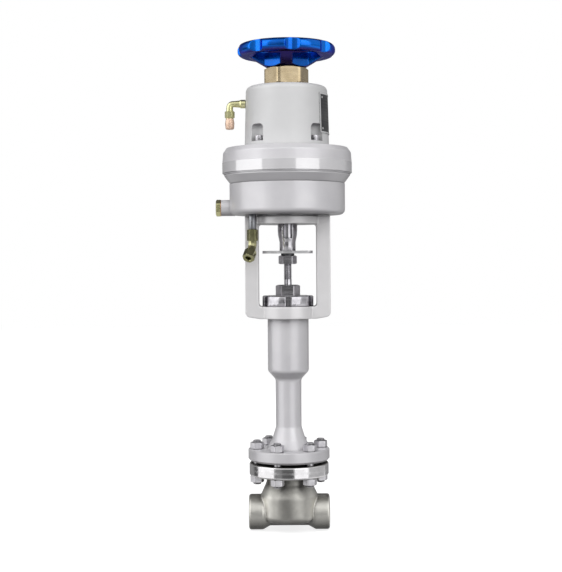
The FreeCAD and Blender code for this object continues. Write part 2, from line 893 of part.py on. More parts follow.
def lower_cylinder():
    pad_edge = size.cylinder_pad_diameter / 2
    drum = drum_edge
    neck = drum - size.drum_neck_step
    rim = size.cover_diameter / 2 - size.drum_rim_step
    spigot = spigot_edge
    bore = cylinder_bore
    bush = size.rod_bush_diameter / 2
    drum_low = size.cylinder_pad
    drum_top = drum_low + size.drum_height
    flare_top = drum_top + size.drum_flare
    rim_top = flare_top + size.drum_rim
    floor = drum_low + size.cylinder_floor
    spigot_high = rim_top + size.cylinder_spigot
    body = new_body("lower_cylinder_turning", cylinder_level)
    turn(body, "turned", [
        (bush, ZERO), (pad_edge, ZERO), (pad_edge, drum_low), (drum, drum_low, size.drum_corner),
        (drum, drum_top), (neck, drum_top), (rim, flare_top), (rim, rim_top),
        (spigot, rim_top), (spigot, spigot_high), (bore, spigot_high), (bore, floor), (bush, floor),
    ])
    seat = size.yoke_screw_thread
    shank = pad(
        body, "screw_hole", floor, floor,
        lambda sketch: circle(sketch, size.yoke_screw_circle / 2, 0, (seat + size.fit_gap) / 2),
        kind="Pocket",
    )
    polar(body, "screw_hole_pattern", shank, size.screw_count)
    sink = pad(
        body, "screw_sink", floor, seat + size.cut_margin,
        lambda sketch: circle(sketch, size.yoke_screw_circle / 2, 0,
                              (seat * CAP_HEAD_RATIO + size.fit_gap) / 2),
        kind="Pocket",
    )
    polar(body, "screw_sink_pattern", sink, size.screw_count)
    seal_in = bore + size.cover_seal_margin
    groove = [
        (seal_in, spigot_high), (seal_in + size.cover_seal_width, spigot_high),
        (seal_in + size.cover_seal_width, spigot_high - size.cover_seal_depth),
        (seal_in, spigot_high - size.cover_seal_depth),
    ]
    turn(body, "seal_groove", groove, kind="Groove")

    # Side port for the fusible plug, drilled through to the air chamber
    boss_from = drum - size.drum_corner
    boss = solid("Cylinder", "port_boss", Radius=size.port_boss_diameter / 2,
                 Height=port_reach - boss_from)
    put(boss, x=stem_axis - boss_from, z=port_height, axis=ALONG_Y, angle=as_dim(-QUARTER_TURN))
    casting = joined("MultiFuse", "cylinder_casting", [body, boss])

    drill_x = bore - size.port_drill
    thread = solid("Cylinder", "port_thread_hole", Radius=size.port_thread / 2,
                   Height=size.port_thread_depth + size.cut_margin)
    put(thread, x=stem_axis - port_reach - size.cut_margin, z=port_height,
        axis=ALONG_Y, angle=as_dim(QUARTER_TURN))
    across = solid("Cylinder", "port_drill_across", Radius=size.port_drill / 2,
                   Height=port_reach - drill_x)
    put(across, x=stem_axis - port_reach, z=port_height, axis=ALONG_Y, angle=as_dim(QUARTER_TURN))
    up = solid("Cylinder", "port_drill_up", Radius=size.port_drill / 2,
               Height=chamber_floor - port_height + size.cut_margin)
    put(up, x=stem_axis - drill_x, z=port_height)

    # Air inlet drilled up through the floor
    inlet = solid("Cylinder", "inlet_thread_hole", Radius=size.inlet_thread / 2 + size.fit_gap,
                  Height=size.inlet_thread_length + size.cylinder_pad)
    put(inlet, x=stem_axis - size.inlet_side, y=-size.inlet_front, z=cylinder_level)
    drill = solid("Cylinder", "inlet_drill", Radius=size.port_drill / 2,
                  Height=size.cylinder_floor + size.cylinder_pad * 2)
    put(drill, x=stem_axis - size.inlet_side, y=-size.inlet_front, z=cylinder_level)
    holes = joined("MultiFuse", "cylinder_holes", [thread, across, up, inlet, drill])
    keep(less("lower_cylinder", casting, holes), "lower_cylinder")

    seal_gap = size.flat_gap
    ring("cover_seal", spigot_top - size.cover_seal_depth + seal_gap,
         (seal_in + size.cover_seal_width - seal_gap) * 2, (seal_in + seal_gap) * 2,
         size.cover_seal_depth - seal_gap)
    cap_screws("yoke_screws", chamber_floor - seat - size.cut_margin, size.yoke_screw_circle,
               size.yoke_screw_thread, size.yoke_screw_length, ZERO)

    rod_hole = size.rod_diameter + size.run_gap * 2
    bush_outer = size.rod_bush_diameter - size.fit_gap
    ring("rod_bush", cylinder_level, bush_outer, rod_hole, size.rod_bush_length)
    seal_low = cylinder_level + size.rod_bush_length
    ring("rod_seal", seal_low, bush_outer, rod_hole, chamber_floor - seal_low - size.flat_gap)


def cylinder_cover():
    edge = size.cover_diameter / 2
    top_edge = edge - size.cover_top_step
    step = edge - size.cover_step
    recess = spigot_edge + size.fit_gap
    room = spring_room
    body = new_body("cylinder_cover", cover_level, axis=UPRIGHT, angle=size.housing_screw_start)
    turn(body, "turned", [
        (recess, ZERO), (step, ZERO), (step, size.cover_step_height), (edge, size.cover_step_height),
        (edge, size.cover_band), (edge - size.cover_taper, size.cover_wall_height, size.cover_shoulder),
        (top_edge, size.cover_height),
        (room, size.cover_height), (room, size.cylinder_spigot), (recess, size.cylinder_spigot),
    ])
    depth = size.housing_screw_length - size.pocket_floor + size.cut_margin
    hole = pad(
        body, "screw_hole", size.cover_height, depth,
        lambda sketch: circle(sketch, screw_reach, 0,
                              (size.housing_screw_thread + size.fit_gap) / 2),
        kind="Pocket",
    )
    polar(body, "screw_hole_pattern", hole, size.screw_count)
    keep(body, "cylinder_cover")


def spring_housing():
    foot = size.housing_diameter / 2
    shoulder = foot - size.housing_draft
    room = spring_room
    ceiling = size.housing_height - size.housing_roof
    bush = size.top_bush_diameter / 2
    body = new_body("housing_turning", housing_level, axis=UPRIGHT, angle=size.housing_screw_start)
    turn(body, "turned", [
        (room, ZERO), (foot, ZERO), (shoulder, size.housing_height, size.housing_corner),
        (bush, size.housing_height), (bush, ceiling), (room, ceiling),
    ])
    hole = pad(
        body, "screw_hole", size.pocket_floor, size.pocket_floor,
        lambda sketch: circle(sketch, screw_reach, 0,
                              (size.housing_screw_thread + size.fit_gap) / 2),
        kind="Pocket",
    )
    polar(body, "screw_hole_pattern", hole, size.screw_count)

    # Round-topped pockets give a key its way to the screws
    tools = []
    edge = size.pocket_diameter / 2
    for index in range(round(size.screw_count.number)):
        angle = size.housing_screw_start + as_dim(FULL_TURN * index) / size.screw_count
        pocket = new_body(f"pocket_{index + 1}")
        put(pocket, x=stem_axis + pocket_reach * cosine(angle), y=pocket_reach * sine(angle),
            z=housing_level + size.pocket_floor)
        turn(pocket, f"pocket_{index + 1}_turned", [
            (ZERO, ZERO), (edge, ZERO), (edge, size.pocket_height, size.pocket_corner),
            (ZERO, size.pocket_height)])
        tools.append(pocket)

    # Tapped hole for the breather
    tap = solid("Cylinder", "breather_hole", Radius=size.breather_thread / 2 + size.fit_gap,
                Height=foot)
    put(tap, x=stem_axis, z=breather_height, axis=ALONG_Y, angle=as_dim(-QUARTER_TURN))
    tools.append(tap)
    keep(less("spring_housing", body, joined("MultiFuse", "housing_cuts", tools)), "spring_housing")
    cap_screws("housing_screws", housing_level + size.pocket_floor, screw_reach * 2,
               size.housing_screw_thread, size.housing_screw_length, size.housing_screw_start)

    ring("top_rod_bush", housing_ceiling, size.top_bush_diameter - size.fit_gap, drive_bore,
         size.housing_roof)
    ring("thrust_washer", housing_top, size.thrust_washer_diameter, drive_bore,
         size.thrust_washer_thickness)


def piston_assembly():
    bore = cylinder_bore - size.run_gap * 2
    hub = size.piston_hub_diameter / 2
    rim_in = bore - size.piston_rim
    hole = (size.rod_thread + size.fit_gap) / 2
    body = new_body("piston", piston_level)
    turn(body, "turned", [
        (hole, ZERO), (bore, ZERO), (bore, size.piston_height), (rim_in, size.piston_height),
        (rim_in, size.piston_web), (hub, size.piston_web, size.fillet), (hub, size.piston_height),
        (hole, size.piston_height),
    ])
    depth = size.piston_ring_depth
    tall = size.piston_ring_height
    gap = size.flat_gap
    for label, low in (("piston_seal", size.piston_seal_level),
                       ("piston_guide_ring", size.piston_guide_level)):
        turn(body, f"{label}_groove", [
            (bore - depth, low), (bore + size.run_gap, low), (bore + size.run_gap, low + tall),
            (bore - depth, low + tall)], kind="Groove")
        ring(label, piston_level + low + gap, (bore + size.run_gap) * 2, (bore - depth + gap) * 2,
             tall - gap * 2)
    keep(body, "piston")

    # The rod: a tongue in the coupling, a full-size shank, then the thread for the hand wheel
    foot = coupling_top - size.coupling_slot_depth + size.flat_gap
    tongue_top = coupling_top + size.flat_gap
    rod_top = wheel_top - size.travel
    full = size.rod_diameter / 2
    thin = size.rod_thread / 2
    rod = new_body("piston_rod", foot)
    shoulder = piston_level - foot
    turn(rod, "turned", [
        (ZERO, ZERO), (full, ZERO), (full, shoulder), (thin, shoulder),
        (thin, rod_top - foot - size.rim_chamfer), (thin - size.rim_chamfer, rod_top - foot),
        (ZERO, rod_top - foot),
    ])
    tongue = (size.coupling_slot - size.fit_gap) / 2
    beyond = full + size.cut_margin
    slot_height = tongue_top - foot

    def flats(sketch):
        for side in (-1, 1):
            outline(sketch, [
                (tongue * side, beyond), (tongue * side, -beyond),
                (beyond * side, -beyond), (beyond * side, beyond)])

    pad(rod, "tongue_flats", slot_height, slot_height, flats, kind="Pocket")
    pin_level = coupling_pin_level - foot
    pad(rod, "pin_hole", ZERO, size.coupling_diameter,
        lambda sketch: circle(sketch, 0, pin_level, (size.coupling_pin + size.fit_gap) / 2),
        kind="Pocket", plane="YZ_Plane", midplane=True)
    keep(rod, "piston_rod")

    hex_nut("piston_nut", piston_top, size.piston_nut_flats, size.piston_nut_height,
            size.rod_thread + size.fit_gap, size.nut_chamfer)
    inner = size.piston_nut_flats * CORNER_PER_FLAT + size.run_gap * 2
    ring("travel_stop", piston_top, inner + size.stop_sleeve_wall * 2, inner,
         housing_ceiling - piston_top - size.travel - size.run_gap)


def coupling_and_plate():
    top = size.coupling_diameter / 2
    foot = size.coupling_foot_diameter / 2
    height = size.coupling_height
    socket = size.stem_diameter / 2 + size.fit_gap / 2
    slot_floor = height - size.coupling_slot_depth
    body = new_body("coupling", coupling_level)
    turn(body, "turned", [
        (socket, ZERO), (foot, ZERO), (foot, size.coupling_foot, size.fillet),
        (top, size.coupling_foot + size.coupling_taper),
        (top, height - size.rim_chamfer), (top - size.rim_chamfer, height), (ZERO, height),
        (ZERO, size.coupling_stem_socket), (socket, size.coupling_stem_socket),
    ])
    slot = size.coupling_slot / 2

    def slot_shape(sketch):
        over = height + size.cut_margin
        outline(sketch, [(-slot, slot_floor), (slot, slot_floor), (slot, over), (-slot, over)])

    pad(body, "slot", ZERO, size.coupling_diameter + size.cut_margin, slot_shape,
        kind="Pocket", plane="XZ_Plane", midplane=True)
    pin_level = coupling_pin_level - coupling_level
    pad(body, "pin_hole", ZERO, size.coupling_diameter + size.cut_margin,
        lambda sketch: circle(sketch, 0, pin_level, (size.coupling_pin + size.fit_gap) / 2),
        kind="Pocket", plane="YZ_Plane", midplane=True)
    keep(body, "coupling")

    pin = solid("Cylinder", "pin_bar", Radius=size.coupling_pin / 2, Height=size.coupling_pin_length)
    put(pin, x=stem_axis - size.coupling_pin_length / 2, z=coupling_pin_level,
        axis=ALONG_Y, angle=as_dim(QUARTER_TURN))
    keep(pin, "coupling_pin")

    plate_level = coupling_level - size.plate_thickness
    plate = new_body("travel_plate", plate_level)
    long_half = size.plate_length / 2
    wide_half = size.plate_width / 2
    tip = wide_half - size.flat_gap

    def plate_shape(sketch):
        outline(sketch, [
            (-long_half, -wide_half, tip), (long_half, -wide_half, tip),
            (long_half, wide_half, tip), (-long_half, wide_half, tip)])
        circle(sketch, 0, 0, socket)

    pad(plate, "plate", ZERO, size.plate_thickness, plate_shape)
    keep(plate, "travel_plate")
    collar_level = plate_level - size.lock_collar_height
    ring("lock_collar", collar_level, size.lock_collar_diameter, socket * 2, size.lock_collar_height)
    hex_nut("stem_lock_nut", collar_level - size.lock_nut_height, size.lock_nut_flats,
            size.lock_nut_height, socket * 2, size.nut_chamfer)


def stem_and_disc():
    radius = size.stem_diameter / 2
    top = coupling_level + size.coupling_stem_socket - size.flat_gap
    stem = new_body("stem", stem_foot)
    turn(stem, "turned", [
        (ZERO, ZERO), (radius, ZERO), (radius, top - stem_foot), (ZERO, top - stem_foot)])
    keep(stem, "stem")

    edge = size.disc_diameter / 2
    neck = size.disc_neck_diameter / 2
    socket = (size.stem_diameter + size.fit_gap) / 2
    spigot = size.disc_spigot / 2
    tail = size.seal_thickness + size.disc_nut_height + size.rim_chamfer
    height = size.disc_plate + size.disc_neck_height
    disc = new_body("disc", disc_level)
    turn(disc, "turned", [
        (ZERO, -tail), (spigot, -tail), (spigot, ZERO), (edge, ZERO),
        (edge, size.disc_plate, size.fillet), (neck, size.disc_plate, size.fillet), (neck, height),
        (socket, height), (socket, height - size.disc_socket), (ZERO, height - size.disc_socket)])
    keep(disc, "disc")
    bore = size.disc_spigot + size.fit_gap
    ring("disc_seal", seal_level, size.disc_diameter - size.fillet, bore, size.seal_thickness)
    hex_nut("disc_nut", seal_level - size.disc_nut_height, size.disc_nut_flats,
            size.disc_nut_height, bore)


def return_spring():
    """A square-wire helix stands between the piston web and the plate under the housing roof."""
    wire = size.spring_wire / 2
    mean = spring_room - size.spring_play - wire
    low = piston_level + size.piston_web + size.flat_gap + wire
    high = housing_ceiling - size.spring_plate_thickness - size.flat_gap - wire
    helix = solid("Helix", "spring_line", Radius=mean, Height=high - low,
                  Pitch=(high - low) / size.spring_turns)
    section = solid("Plane", "spring_section", Length=size.spring_wire, Width=size.spring_wire)
    put(section, x=mean - wire, z=-wire, axis=ALONG_X, angle=as_dim(QUARTER_TURN))
    doc.recompute()
    sweep = doc.addObject("Part::Sweep", "return_spring")
    sweep.Sections = [section]
    sweep.Spine = (helix, ["Edge1"])
    sweep.Solid = True
    sweep.Frenet = True
    put(sweep, x=stem_axis, z=low)
    keep(sweep, "return_spring")
    ring("spring_plate", high + wire + size.flat_gap, spring_room * 2 - size.fit_gap,
         (mean - wire - size.spring_play) * 2, size.spring_plate_thickness)


def hand_wheel():
    bore = drive_bore / 2
    spigot = (size.wheel_bore - size.fit_gap) / 2
    foot = housing_top + size.flat_gap
    height = wheel_level - foot
    lip = size.thrust_washer_thickness
    post = height + size.wheel_hub_height + size.wheel_washer_thickness + size.wheel_nut_height
    nut = new_body("drive_nut", foot + lip, axis=UPRIGHT, angle=size.drive_nut_start)
    nut_features(nut, ZERO, size.drive_nut_flats, height - lip, bore * 2, ZERO, size.nut_chamfer)
    turn(nut, "post", [
        (bore, height - lip), (spigot, height - lip), (spigot, post - lip), (bore, post - lip)])
    keep(nut, "drive_nut")

    hub = size.wheel_hub_diameter / 2
    outer = size.wheel_diameter / 2
    inner = outer - size.wheel_rim_width
    rim_low = size.wheel_height - size.wheel_rim_height
    round_off = size.wheel_rim_round
    dish = size.wheel_spoke_height
    wheel = new_body("handwheel", wheel_level)
    turn(wheel, "turned", [
        (size.wheel_bore / 2, ZERO), (hub, ZERO, size.fillet), (inner, rim_low),
        (outer, rim_low, round_off), (outer, size.wheel_height, round_off),
        (inner, size.wheel_height, size.fillet), (inner, rim_low + dish, size.fillet),
        (hub, size.wheel_hub_height, size.fillet), (size.wheel_bore / 2, size.wheel_hub_height)])
    notch_at = outer + size.wheel_notch_radius - size.wheel_notch_depth
    notch = pad(
        wheel, "notch", size.wheel_height, size.wheel_height,
        lambda sketch: circle(sketch, notch_at * cosine(size.wheel_lobe_start),
                              notch_at * sine(size.wheel_lobe_start), size.wheel_notch_radius),
        kind="Pocket",
    )
    polar(wheel, "notch_pattern", notch, size.wheel_lobes)
    side = size.wheel_spoke_width / 2
    near = hub + size.wheel_window_inset
    far = inner - size.wheel_window_inset
    crown = far * size.wheel_window_crown

    def window(sketch):
        outline(sketch, [
            (side, near), (side, far, size.fillet), (crown, crown, hub), (far, side, size.fillet),
            (near, side)])

    hole = pad(wheel, "window", size.wheel_height, size.wheel_height, window, kind="Pocket")
    polar(wheel, "window_pattern", hole, size.wheel_spokes)
    keep(wheel, "handwheel")
    washer_level = wheel_level + size.wheel_hub_height
    ring("handwheel_washer", washer_level, size.wheel_washer_diameter, size.wheel_bore,
         size.wheel_washer_thickness)
    hex_nut("handwheel_nut", washer_level + size.wheel_washer_thickness, size.wheel_nut_flats,
            size.wheel_nut_height, size.wheel_bore, size.nut_chamfer)


def breather():
    share = (size.breather_level - size.breather_root_diameter / 2) / size.housing_height
    wall = size.housing_diameter / 2 - size.housing_draft * share + size.flat_gap
    inner = spring_room
    leg = size.breather_leg_diameter / 2
    centre = stem_axis - breather_reach
    leg_foot = breather_height - size.breather_leg
    nut_foot = leg_foot - size.breather_nut_height
    outward = as_dim(-QUARTER_TURN)
    thread = solid("Cylinder", "breather_thread", Radius=size.breather_thread / 2, Height=wall - inner)
    put(thread, x=stem_axis - inner, z=breather_height, axis=ALONG_Y, angle=outward)
    arm = solid("Cone", "breather_arm", Radius1=size.breather_root_diameter / 2,
                Radius2=size.breather_end_diameter / 2, Height=breather_reach - wall)
    put(arm, x=stem_axis - wall, z=breather_height, axis=ALONG_Y, angle=outward)
    ball = solid("Sphere", "breather_ball", Radius=leg)
    put(ball, x=centre, z=breather_height)
    down = solid("Cylinder", "breather_down", Radius=leg, Height=size.breather_leg)
    put(down, x=centre, z=leg_foot)
    hexagon_bar = solid("Prism", "breather_hexagon", Height=size.breather_nut_height,
                        Circumradius=size.breather_nut_flats * (CORNER_PER_FLAT / 2))
    hexagon_bar.Polygon = HEX_SIDES
    put(hexagon_bar, x=centre, z=nut_foot)
    keep(joined("MultiFuse", "breather_elbow", [thread, arm, ball, down, hexagon_bar]),
         "breather_elbow")
    silencer = new_body("breather_silencer", nut_foot - size.silencer_height)
    put(silencer, x=centre, z=nut_foot - size.silencer_height)
    edge = size.silencer_diameter / 2
    turn(silencer, "turned", [
        (ZERO, ZERO), (edge, ZERO, size.silencer_round), (edge, size.silencer_height),
        (ZERO, size.silencer_height)])
    keep(silencer, "breather_silencer")


def fusible_plug():
    mouth = stem_axis - port_reach
    outward = as_dim(-QUARTER_TURN)
    thread = (size.port_thread - size.fit_gap) / 2
    seat = size.plug_washer_thickness
    washer = ring("fusible_plug_washer", ZERO, size.port_boss_diameter, size.port_thread, seat)
    put(washer, x=mouth, z=port_height, axis=ALONG_Y, angle=outward)
    plug = new_body("fusible_plug")
    put(plug, x=mouth, z=port_height, axis=ALONG_Y, angle=outward)
    pad(plug, "head", seat, size.plug_head, lambda sketch: hexagon(sketch, size.plug_flats))
    pad(plug, "thread", -size.plug_thread_length, size.plug_thread_length + seat,
        lambda sketch: circle(sketch, 0, 0, thread))
    pad(plug, "core", seat + size.plug_head, size.plug_core_depth,
        lambda sketch: circle(sketch, 0, 0, size.plug_core_diameter / 2), kind="Pocket")
    keep(plug, "fusible_plug")


def air_inlet():
    x = stem_axis - size.inlet_side
    y = -size.inlet_front
    under = cylinder_level + size.cylinder_pad
    thread = size.inlet_thread / 2
    bore = size.port_drill / 2
    nose = size.elbow_diameter / 2 - size.run_gap * 2
    nipple_foot = under - size.nipple_length
    tail = size.inlet_thread_length
    nipple = new_body("air_inlet_nipple")
    put(nipple, x=x, y=y, z=nipple_foot)
    wide = size.nipple_diameter / 2
    turn(nipple, "turned", [
        (bore, -tail), (thread - size.fit_gap, -tail), (thread - size.fit_gap, ZERO), (wide, ZERO),
        (wide, size.nipple_length - size.flat_gap), (thread, size.nipple_length - size.flat_gap),
        (thread, size.nipple_length + tail - size.cut_margin),
        (bore, size.nipple_length + tail - size.cut_margin)])
    keep(nipple, "air_inlet_nipple")

    # The elbow turns down and towards the front
    hex_foot = nipple_foot - size.elbow_hex_height
    bend = hex_foot - size.elbow_drop
    swing = math.radians(size.elbow_turn.number)
    aim = (math.cos(swing), -math.sin(swing), 0)
    fall = FULL_TURN / 2 - size.elbow_tilt
    block = solid("Prism", "elbow_hexagon", Height=size.elbow_hex_height,
                  Circumradius=size.elbow_hex_flats * (CORNER_PER_FLAT / 2))
    block.Polygon = HEX_SIDES
    put(block, x=x, y=y, z=hex_foot)
    neck = solid("Cylinder", "elbow_neck", Radius=size.elbow_diameter / 2, Height=size.elbow_drop)
    put(neck, x=x, y=y, z=bend)
    ball = solid("Sphere", "elbow_ball", Radius=size.elbow_diameter / 2)
    put(ball, x=x, y=y, z=bend)
    arm = solid("Cylinder", "elbow_arm", Radius=size.elbow_diameter / 2, Height=size.elbow_arm)
    put(arm, x=x, y=y, z=bend, axis=aim, angle=fall)
    tip = solid("Cylinder", "elbow_nose", Radius=nose,
                Height=size.elbow_arm + size.cut_margin)
    put(tip, x=x, y=y, z=bend, axis=aim, angle=fall)
    casting = joined("MultiFuse", "elbow_casting", [block, neck, ball, arm, tip])
    socket = solid("Cylinder", "elbow_socket", Radius=thread, Height=tail + size.flat_gap)
    put(socket, x=x, y=y, z=nipple_foot - tail - size.flat_gap)
    way_down = solid("Cylinder", "elbow_way_down", Radius=bore,
                     Height=size.elbow_hex_height + size.elbow_drop)
    put(way_down, x=x, y=y, z=bend)
    way_out = solid("Cylinder", "elbow_way_out", Radius=bore,
                    Height=size.elbow_arm + size.cut_margin * 2)
    put(way_out, x=x, y=y, z=bend, axis=aim, angle=fall)
    keep(less("air_inlet_elbow", casting, joined("MultiFuse", "elbow_ways", [socket, way_down, way_out])),
         "air_inlet_elbow")

    reach = size.elbow_arm + size.flat_gap
    level_reach = reach * sine(size.elbow_tilt)
    union = new_body("air_inlet_nut")
    put(
        union,
        x=x - level_reach * sine(size.elbow_turn),
        y=y - level_reach * cosine(size.elbow_turn),
        z=bend - reach * cosine(size.elbow_tilt),
        axis=aim, angle=fall,
    )
    tube = size.tube_bore / 2

    def union_shape(sketch):
        hexagon(sketch, size.union_flats)
        circle(sketch, 0, 0, tube)

    pad(union, "hexagon", ZERO, size.union_length, union_shape)
    pad(union, "nose_seat", size.union_length - size.tube_depth, size.union_length,
        lambda sketch: circle(sketch, 0, 0, nose + size.fit_gap), kind="Pocket")
    keep(union, "air_inlet_nut")


valve_body()
flange_joint()
bonnet()
stem_seals()
yoke()
lower_cylinder()
cylinder_cover()
spring_housing()
piston_assembly()
coupling_and_plate()
stem_and_disc()
return_spring()
hand_wheel()
breather()
fusible_plug()
air_inlet()
doc.recompute()

for item in doc.Objects:
    if "Invalid" in item.State or "Error" in item.State:
        raise RuntimeError(f"{item.Label} was not built: {item.State}")
os.makedirs("parts", exist_ok=True)
for piece in pieces:
    if piece.Shape.isNull() or not piece.Shape.isValid() or not piece.Shape.Solids:
        raise RuntimeError(f"{piece.Label} has no sound solid")
    piece.Shape.exportStep(f"parts/{piece.Label}.step")
    box = piece.Shape.BoundBox
    print(
        f"{piece.Label:20s} solids {len(piece.Shape.Solids):2d} volume {piece.Shape.Volume:9.0f}"
        f"  z {box.ZMin:7.2f} to {box.ZMax:7.2f}  x {box.XMin:7.2f} to {box.XMax:7.2f}"
    )
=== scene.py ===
import json
import math

import bmesh
import bpy
from mathutils import Matrix, Vector


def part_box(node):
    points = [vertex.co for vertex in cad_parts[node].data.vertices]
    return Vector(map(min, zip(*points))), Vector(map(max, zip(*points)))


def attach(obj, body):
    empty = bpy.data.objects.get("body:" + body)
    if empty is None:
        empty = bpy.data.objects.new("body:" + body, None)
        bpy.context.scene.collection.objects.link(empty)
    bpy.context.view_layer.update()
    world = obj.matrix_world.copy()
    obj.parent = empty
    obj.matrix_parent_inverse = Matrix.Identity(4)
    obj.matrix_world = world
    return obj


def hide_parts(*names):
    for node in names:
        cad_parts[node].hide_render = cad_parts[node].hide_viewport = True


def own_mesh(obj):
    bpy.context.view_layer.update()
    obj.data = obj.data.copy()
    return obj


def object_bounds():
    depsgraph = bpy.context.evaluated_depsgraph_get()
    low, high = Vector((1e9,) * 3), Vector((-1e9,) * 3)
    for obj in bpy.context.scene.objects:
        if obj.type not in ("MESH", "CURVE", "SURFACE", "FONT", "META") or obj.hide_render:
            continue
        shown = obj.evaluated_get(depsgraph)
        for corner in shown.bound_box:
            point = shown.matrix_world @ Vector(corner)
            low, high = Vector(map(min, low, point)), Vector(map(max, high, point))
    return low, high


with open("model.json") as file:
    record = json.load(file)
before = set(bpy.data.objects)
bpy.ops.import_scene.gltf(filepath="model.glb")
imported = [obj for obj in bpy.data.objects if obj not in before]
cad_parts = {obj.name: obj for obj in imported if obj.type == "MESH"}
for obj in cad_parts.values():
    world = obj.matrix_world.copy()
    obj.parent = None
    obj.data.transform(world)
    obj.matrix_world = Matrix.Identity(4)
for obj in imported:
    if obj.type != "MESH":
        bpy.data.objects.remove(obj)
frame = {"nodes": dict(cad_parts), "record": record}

cad_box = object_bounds()
nodes = frame["nodes"]

MM = 0.001
FULL_TURN = 2 * math.pi
QUARTER_TURN = math.pi / 2
SIXTH_TURN = math.radians(60)
UP = Vector((0, 0, 1))
OUTWARD = Vector((-1, 0, 0))

# Places that many pieces share, from the frame
rod_low, rod_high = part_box("piston_rod")
STEM_X = (rod_low.x + rod_high.x) / 2
STEM = Vector((STEM_X, 0, 0))
SLOT_OF = {entry["node"]: entry["material_slot"] for entry in frame["record"]["subparts"]}
BODY_OF = {
    node: body for body, members in frame["record"]["behaviour"]["bodies"].items() for node in members
}


def node_radius(name):
    """Half the width of a turned node along Y, in metres."""
    low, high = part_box(name)
    return (high.y - low.y) / 2


def levels(name):
    """Lowest and highest level of a node, in metres."""
    low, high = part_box(name)
    return low.z, high.z


# Shader helpers

SURFACE = "Principled BSDF"


def add_node(tree, kind, inputs=None, **settings):
    """A shader node with its settings, its inputs joined to sockets or set to plain values."""
    node = tree.nodes.new(kind)
    for name, value in settings.items():
        setattr(node, name, value)
    for key, value in (inputs or {}).items():
        if isinstance(value, bpy.types.NodeSocket):
            tree.links.new(value, node.inputs[key])
        else:
            node.inputs[key].default_value = value
    return node


def new_material(name, **sockets):
    """A material with one surface shader set to these plain values."""
    material = bpy.data.materials.new(name)
    material.use_nodes = True
    tree = material.node_tree
    shader = tree.nodes[SURFACE]
    for socket, value in sockets.items():
        shader.inputs[socket.replace("_", " ")].default_value = value
    return material, tree, shader


def link(tree, shader, **sockets):
    for name, socket in sockets.items():
        tree.links.new(socket, shader.inputs[name.replace("_", " ")])


def number_from(tree, operation, *values):
    """A number worked out from others."""
    return add_node(tree, "ShaderNodeMath", dict(enumerate(values)), operation=operation).outputs[0]


def product(tree, first, second):
    return number_from(tree, "MULTIPLY", first, second)


def total(tree, parts):
    result = parts[0]
    for part in parts[1:]:
        result = number_from(tree, "ADD", result, part)
    return result


def vector_from(tree, operation, *values, output="Vector"):
    """A place worked out from others, or its length."""
    node = add_node(tree, "ShaderNodeVectorMath", dict(enumerate(values)), operation=operation)
    return node.outputs[output]


def shaded(tree, colour, share):
    """The colour made darker or lighter by a share."""
    node = add_node(tree, "ShaderNodeVectorMath", {0: colour, "Scale": share}, operation="SCALE")
    return node.outputs[0]


def blend(tree, share, first, second):
    """A number between the first and the second."""
    return add_node(tree, "ShaderNodeMix", {"Factor": share, "A": first, "B": second},
                    data_type="FLOAT").outputs["Result"]


def between(tree, value, start, end, edge):
    """1 from start to end, falling softly to 0 over the edge on both sides."""
    slopes = [
        add_node(tree, "ShaderNodeMapRange", {"Value": value, "From Min": outside, "From Max": inside},
                 interpolation_type="SMOOTHSTEP").outputs["Result"]
        for outside, inside in ((start - edge, start), (end + edge, end))]
    return product(tree, *slopes)


def remap(tree, factor, low, high, start=0.3, end=0.7):
    """A pattern spread between two values."""
    return add_node(tree, "ShaderNodeMapRange", {
        "Value": factor, "From Min": start, "From Max": end, "To Min": low, "To Max": high,
    }).outputs["Result"]


def uneven(tree, pattern, value, least=0.85, most=1.2):
    """A value that the pattern lowers and raises by these shares."""
    return remap(tree, pattern, value * least, value * most)


def object_place(tree):
    return add_node(tree, "ShaderNodeTexCoord").outputs["Object"]


def axes(tree, vector):
    """The X, Y and Z of a place."""
    return add_node(tree, "ShaderNodeSeparateXYZ", {0: vector}).outputs


def from_stem(tree):
    """The place measured from the foot of the stem axis, and its distance from that axis."""
    away = vector_from(tree, "SUBTRACT", object_place(tree), STEM)
    level = vector_from(tree, "MULTIPLY", away, (1, 1, 0))
    return away, vector_from(tree, "LENGTH", level, output="Value")


def turned_place(tree):
    """Coordinates that stay the same round the stem axis, as a cutting tool leaves its marks."""
    away, reach = from_stem(tree)
    return add_node(tree, "ShaderNodeCombineXYZ", {"X": reach, "Z": axes(tree, away)["Z"]}).outputs[0]


def grain(tree, size, detail=3, place=None, roughness=0.5):
    """A soft random pattern whose blotches are about the given size, in metres."""
    vector = place or object_place(tree)
    return add_node(tree, "ShaderNodeTexNoise", {
        "Vector": vector, "Scale": 1 / size, "Detail": detail, "Roughness": roughness,
    }).outputs["Fac"]


def two_tone(tree, factor, first, second, start=0.35, end=0.65):
    """One colour turning into another where the pattern rises."""
    ramp = add_node(tree, "ShaderNodeValToRGB", {"Fac": factor})
    for stop, place, colour in zip(ramp.color_ramp.elements, (start, end), (first, second)):
        stop.position = place
        stop.color = (*colour, 1)
    return ramp.outputs["Color"]


HOLLOW_SAMPLES = 8
DEEP_HOLLOW = 0.2
OPEN_FACE = 0.9


def paint_crevice_shade(tree, colour, reach, depth):
    """The colour darkened, down to the depth's share, where surfaces meet within the reach: painted
    shade.
    """
    hollow = add_node(tree, "ShaderNodeAmbientOcclusion", {"Distance": reach}, samples=HOLLOW_SAMPLES)
    return shaded(tree, colour, remap(tree, hollow.outputs["AO"], depth, 1, DEEP_HOLLOW, OPEN_FACE))


EDGE_SAMPLES = 6


def eased(tree, radius):
    """Normals that turn softly over the sharp edges of a CAD mesh."""
    return add_node(tree, "ShaderNodeBevel", {"Radius": radius}, samples=EDGE_SAMPLES).outputs["Normal"]


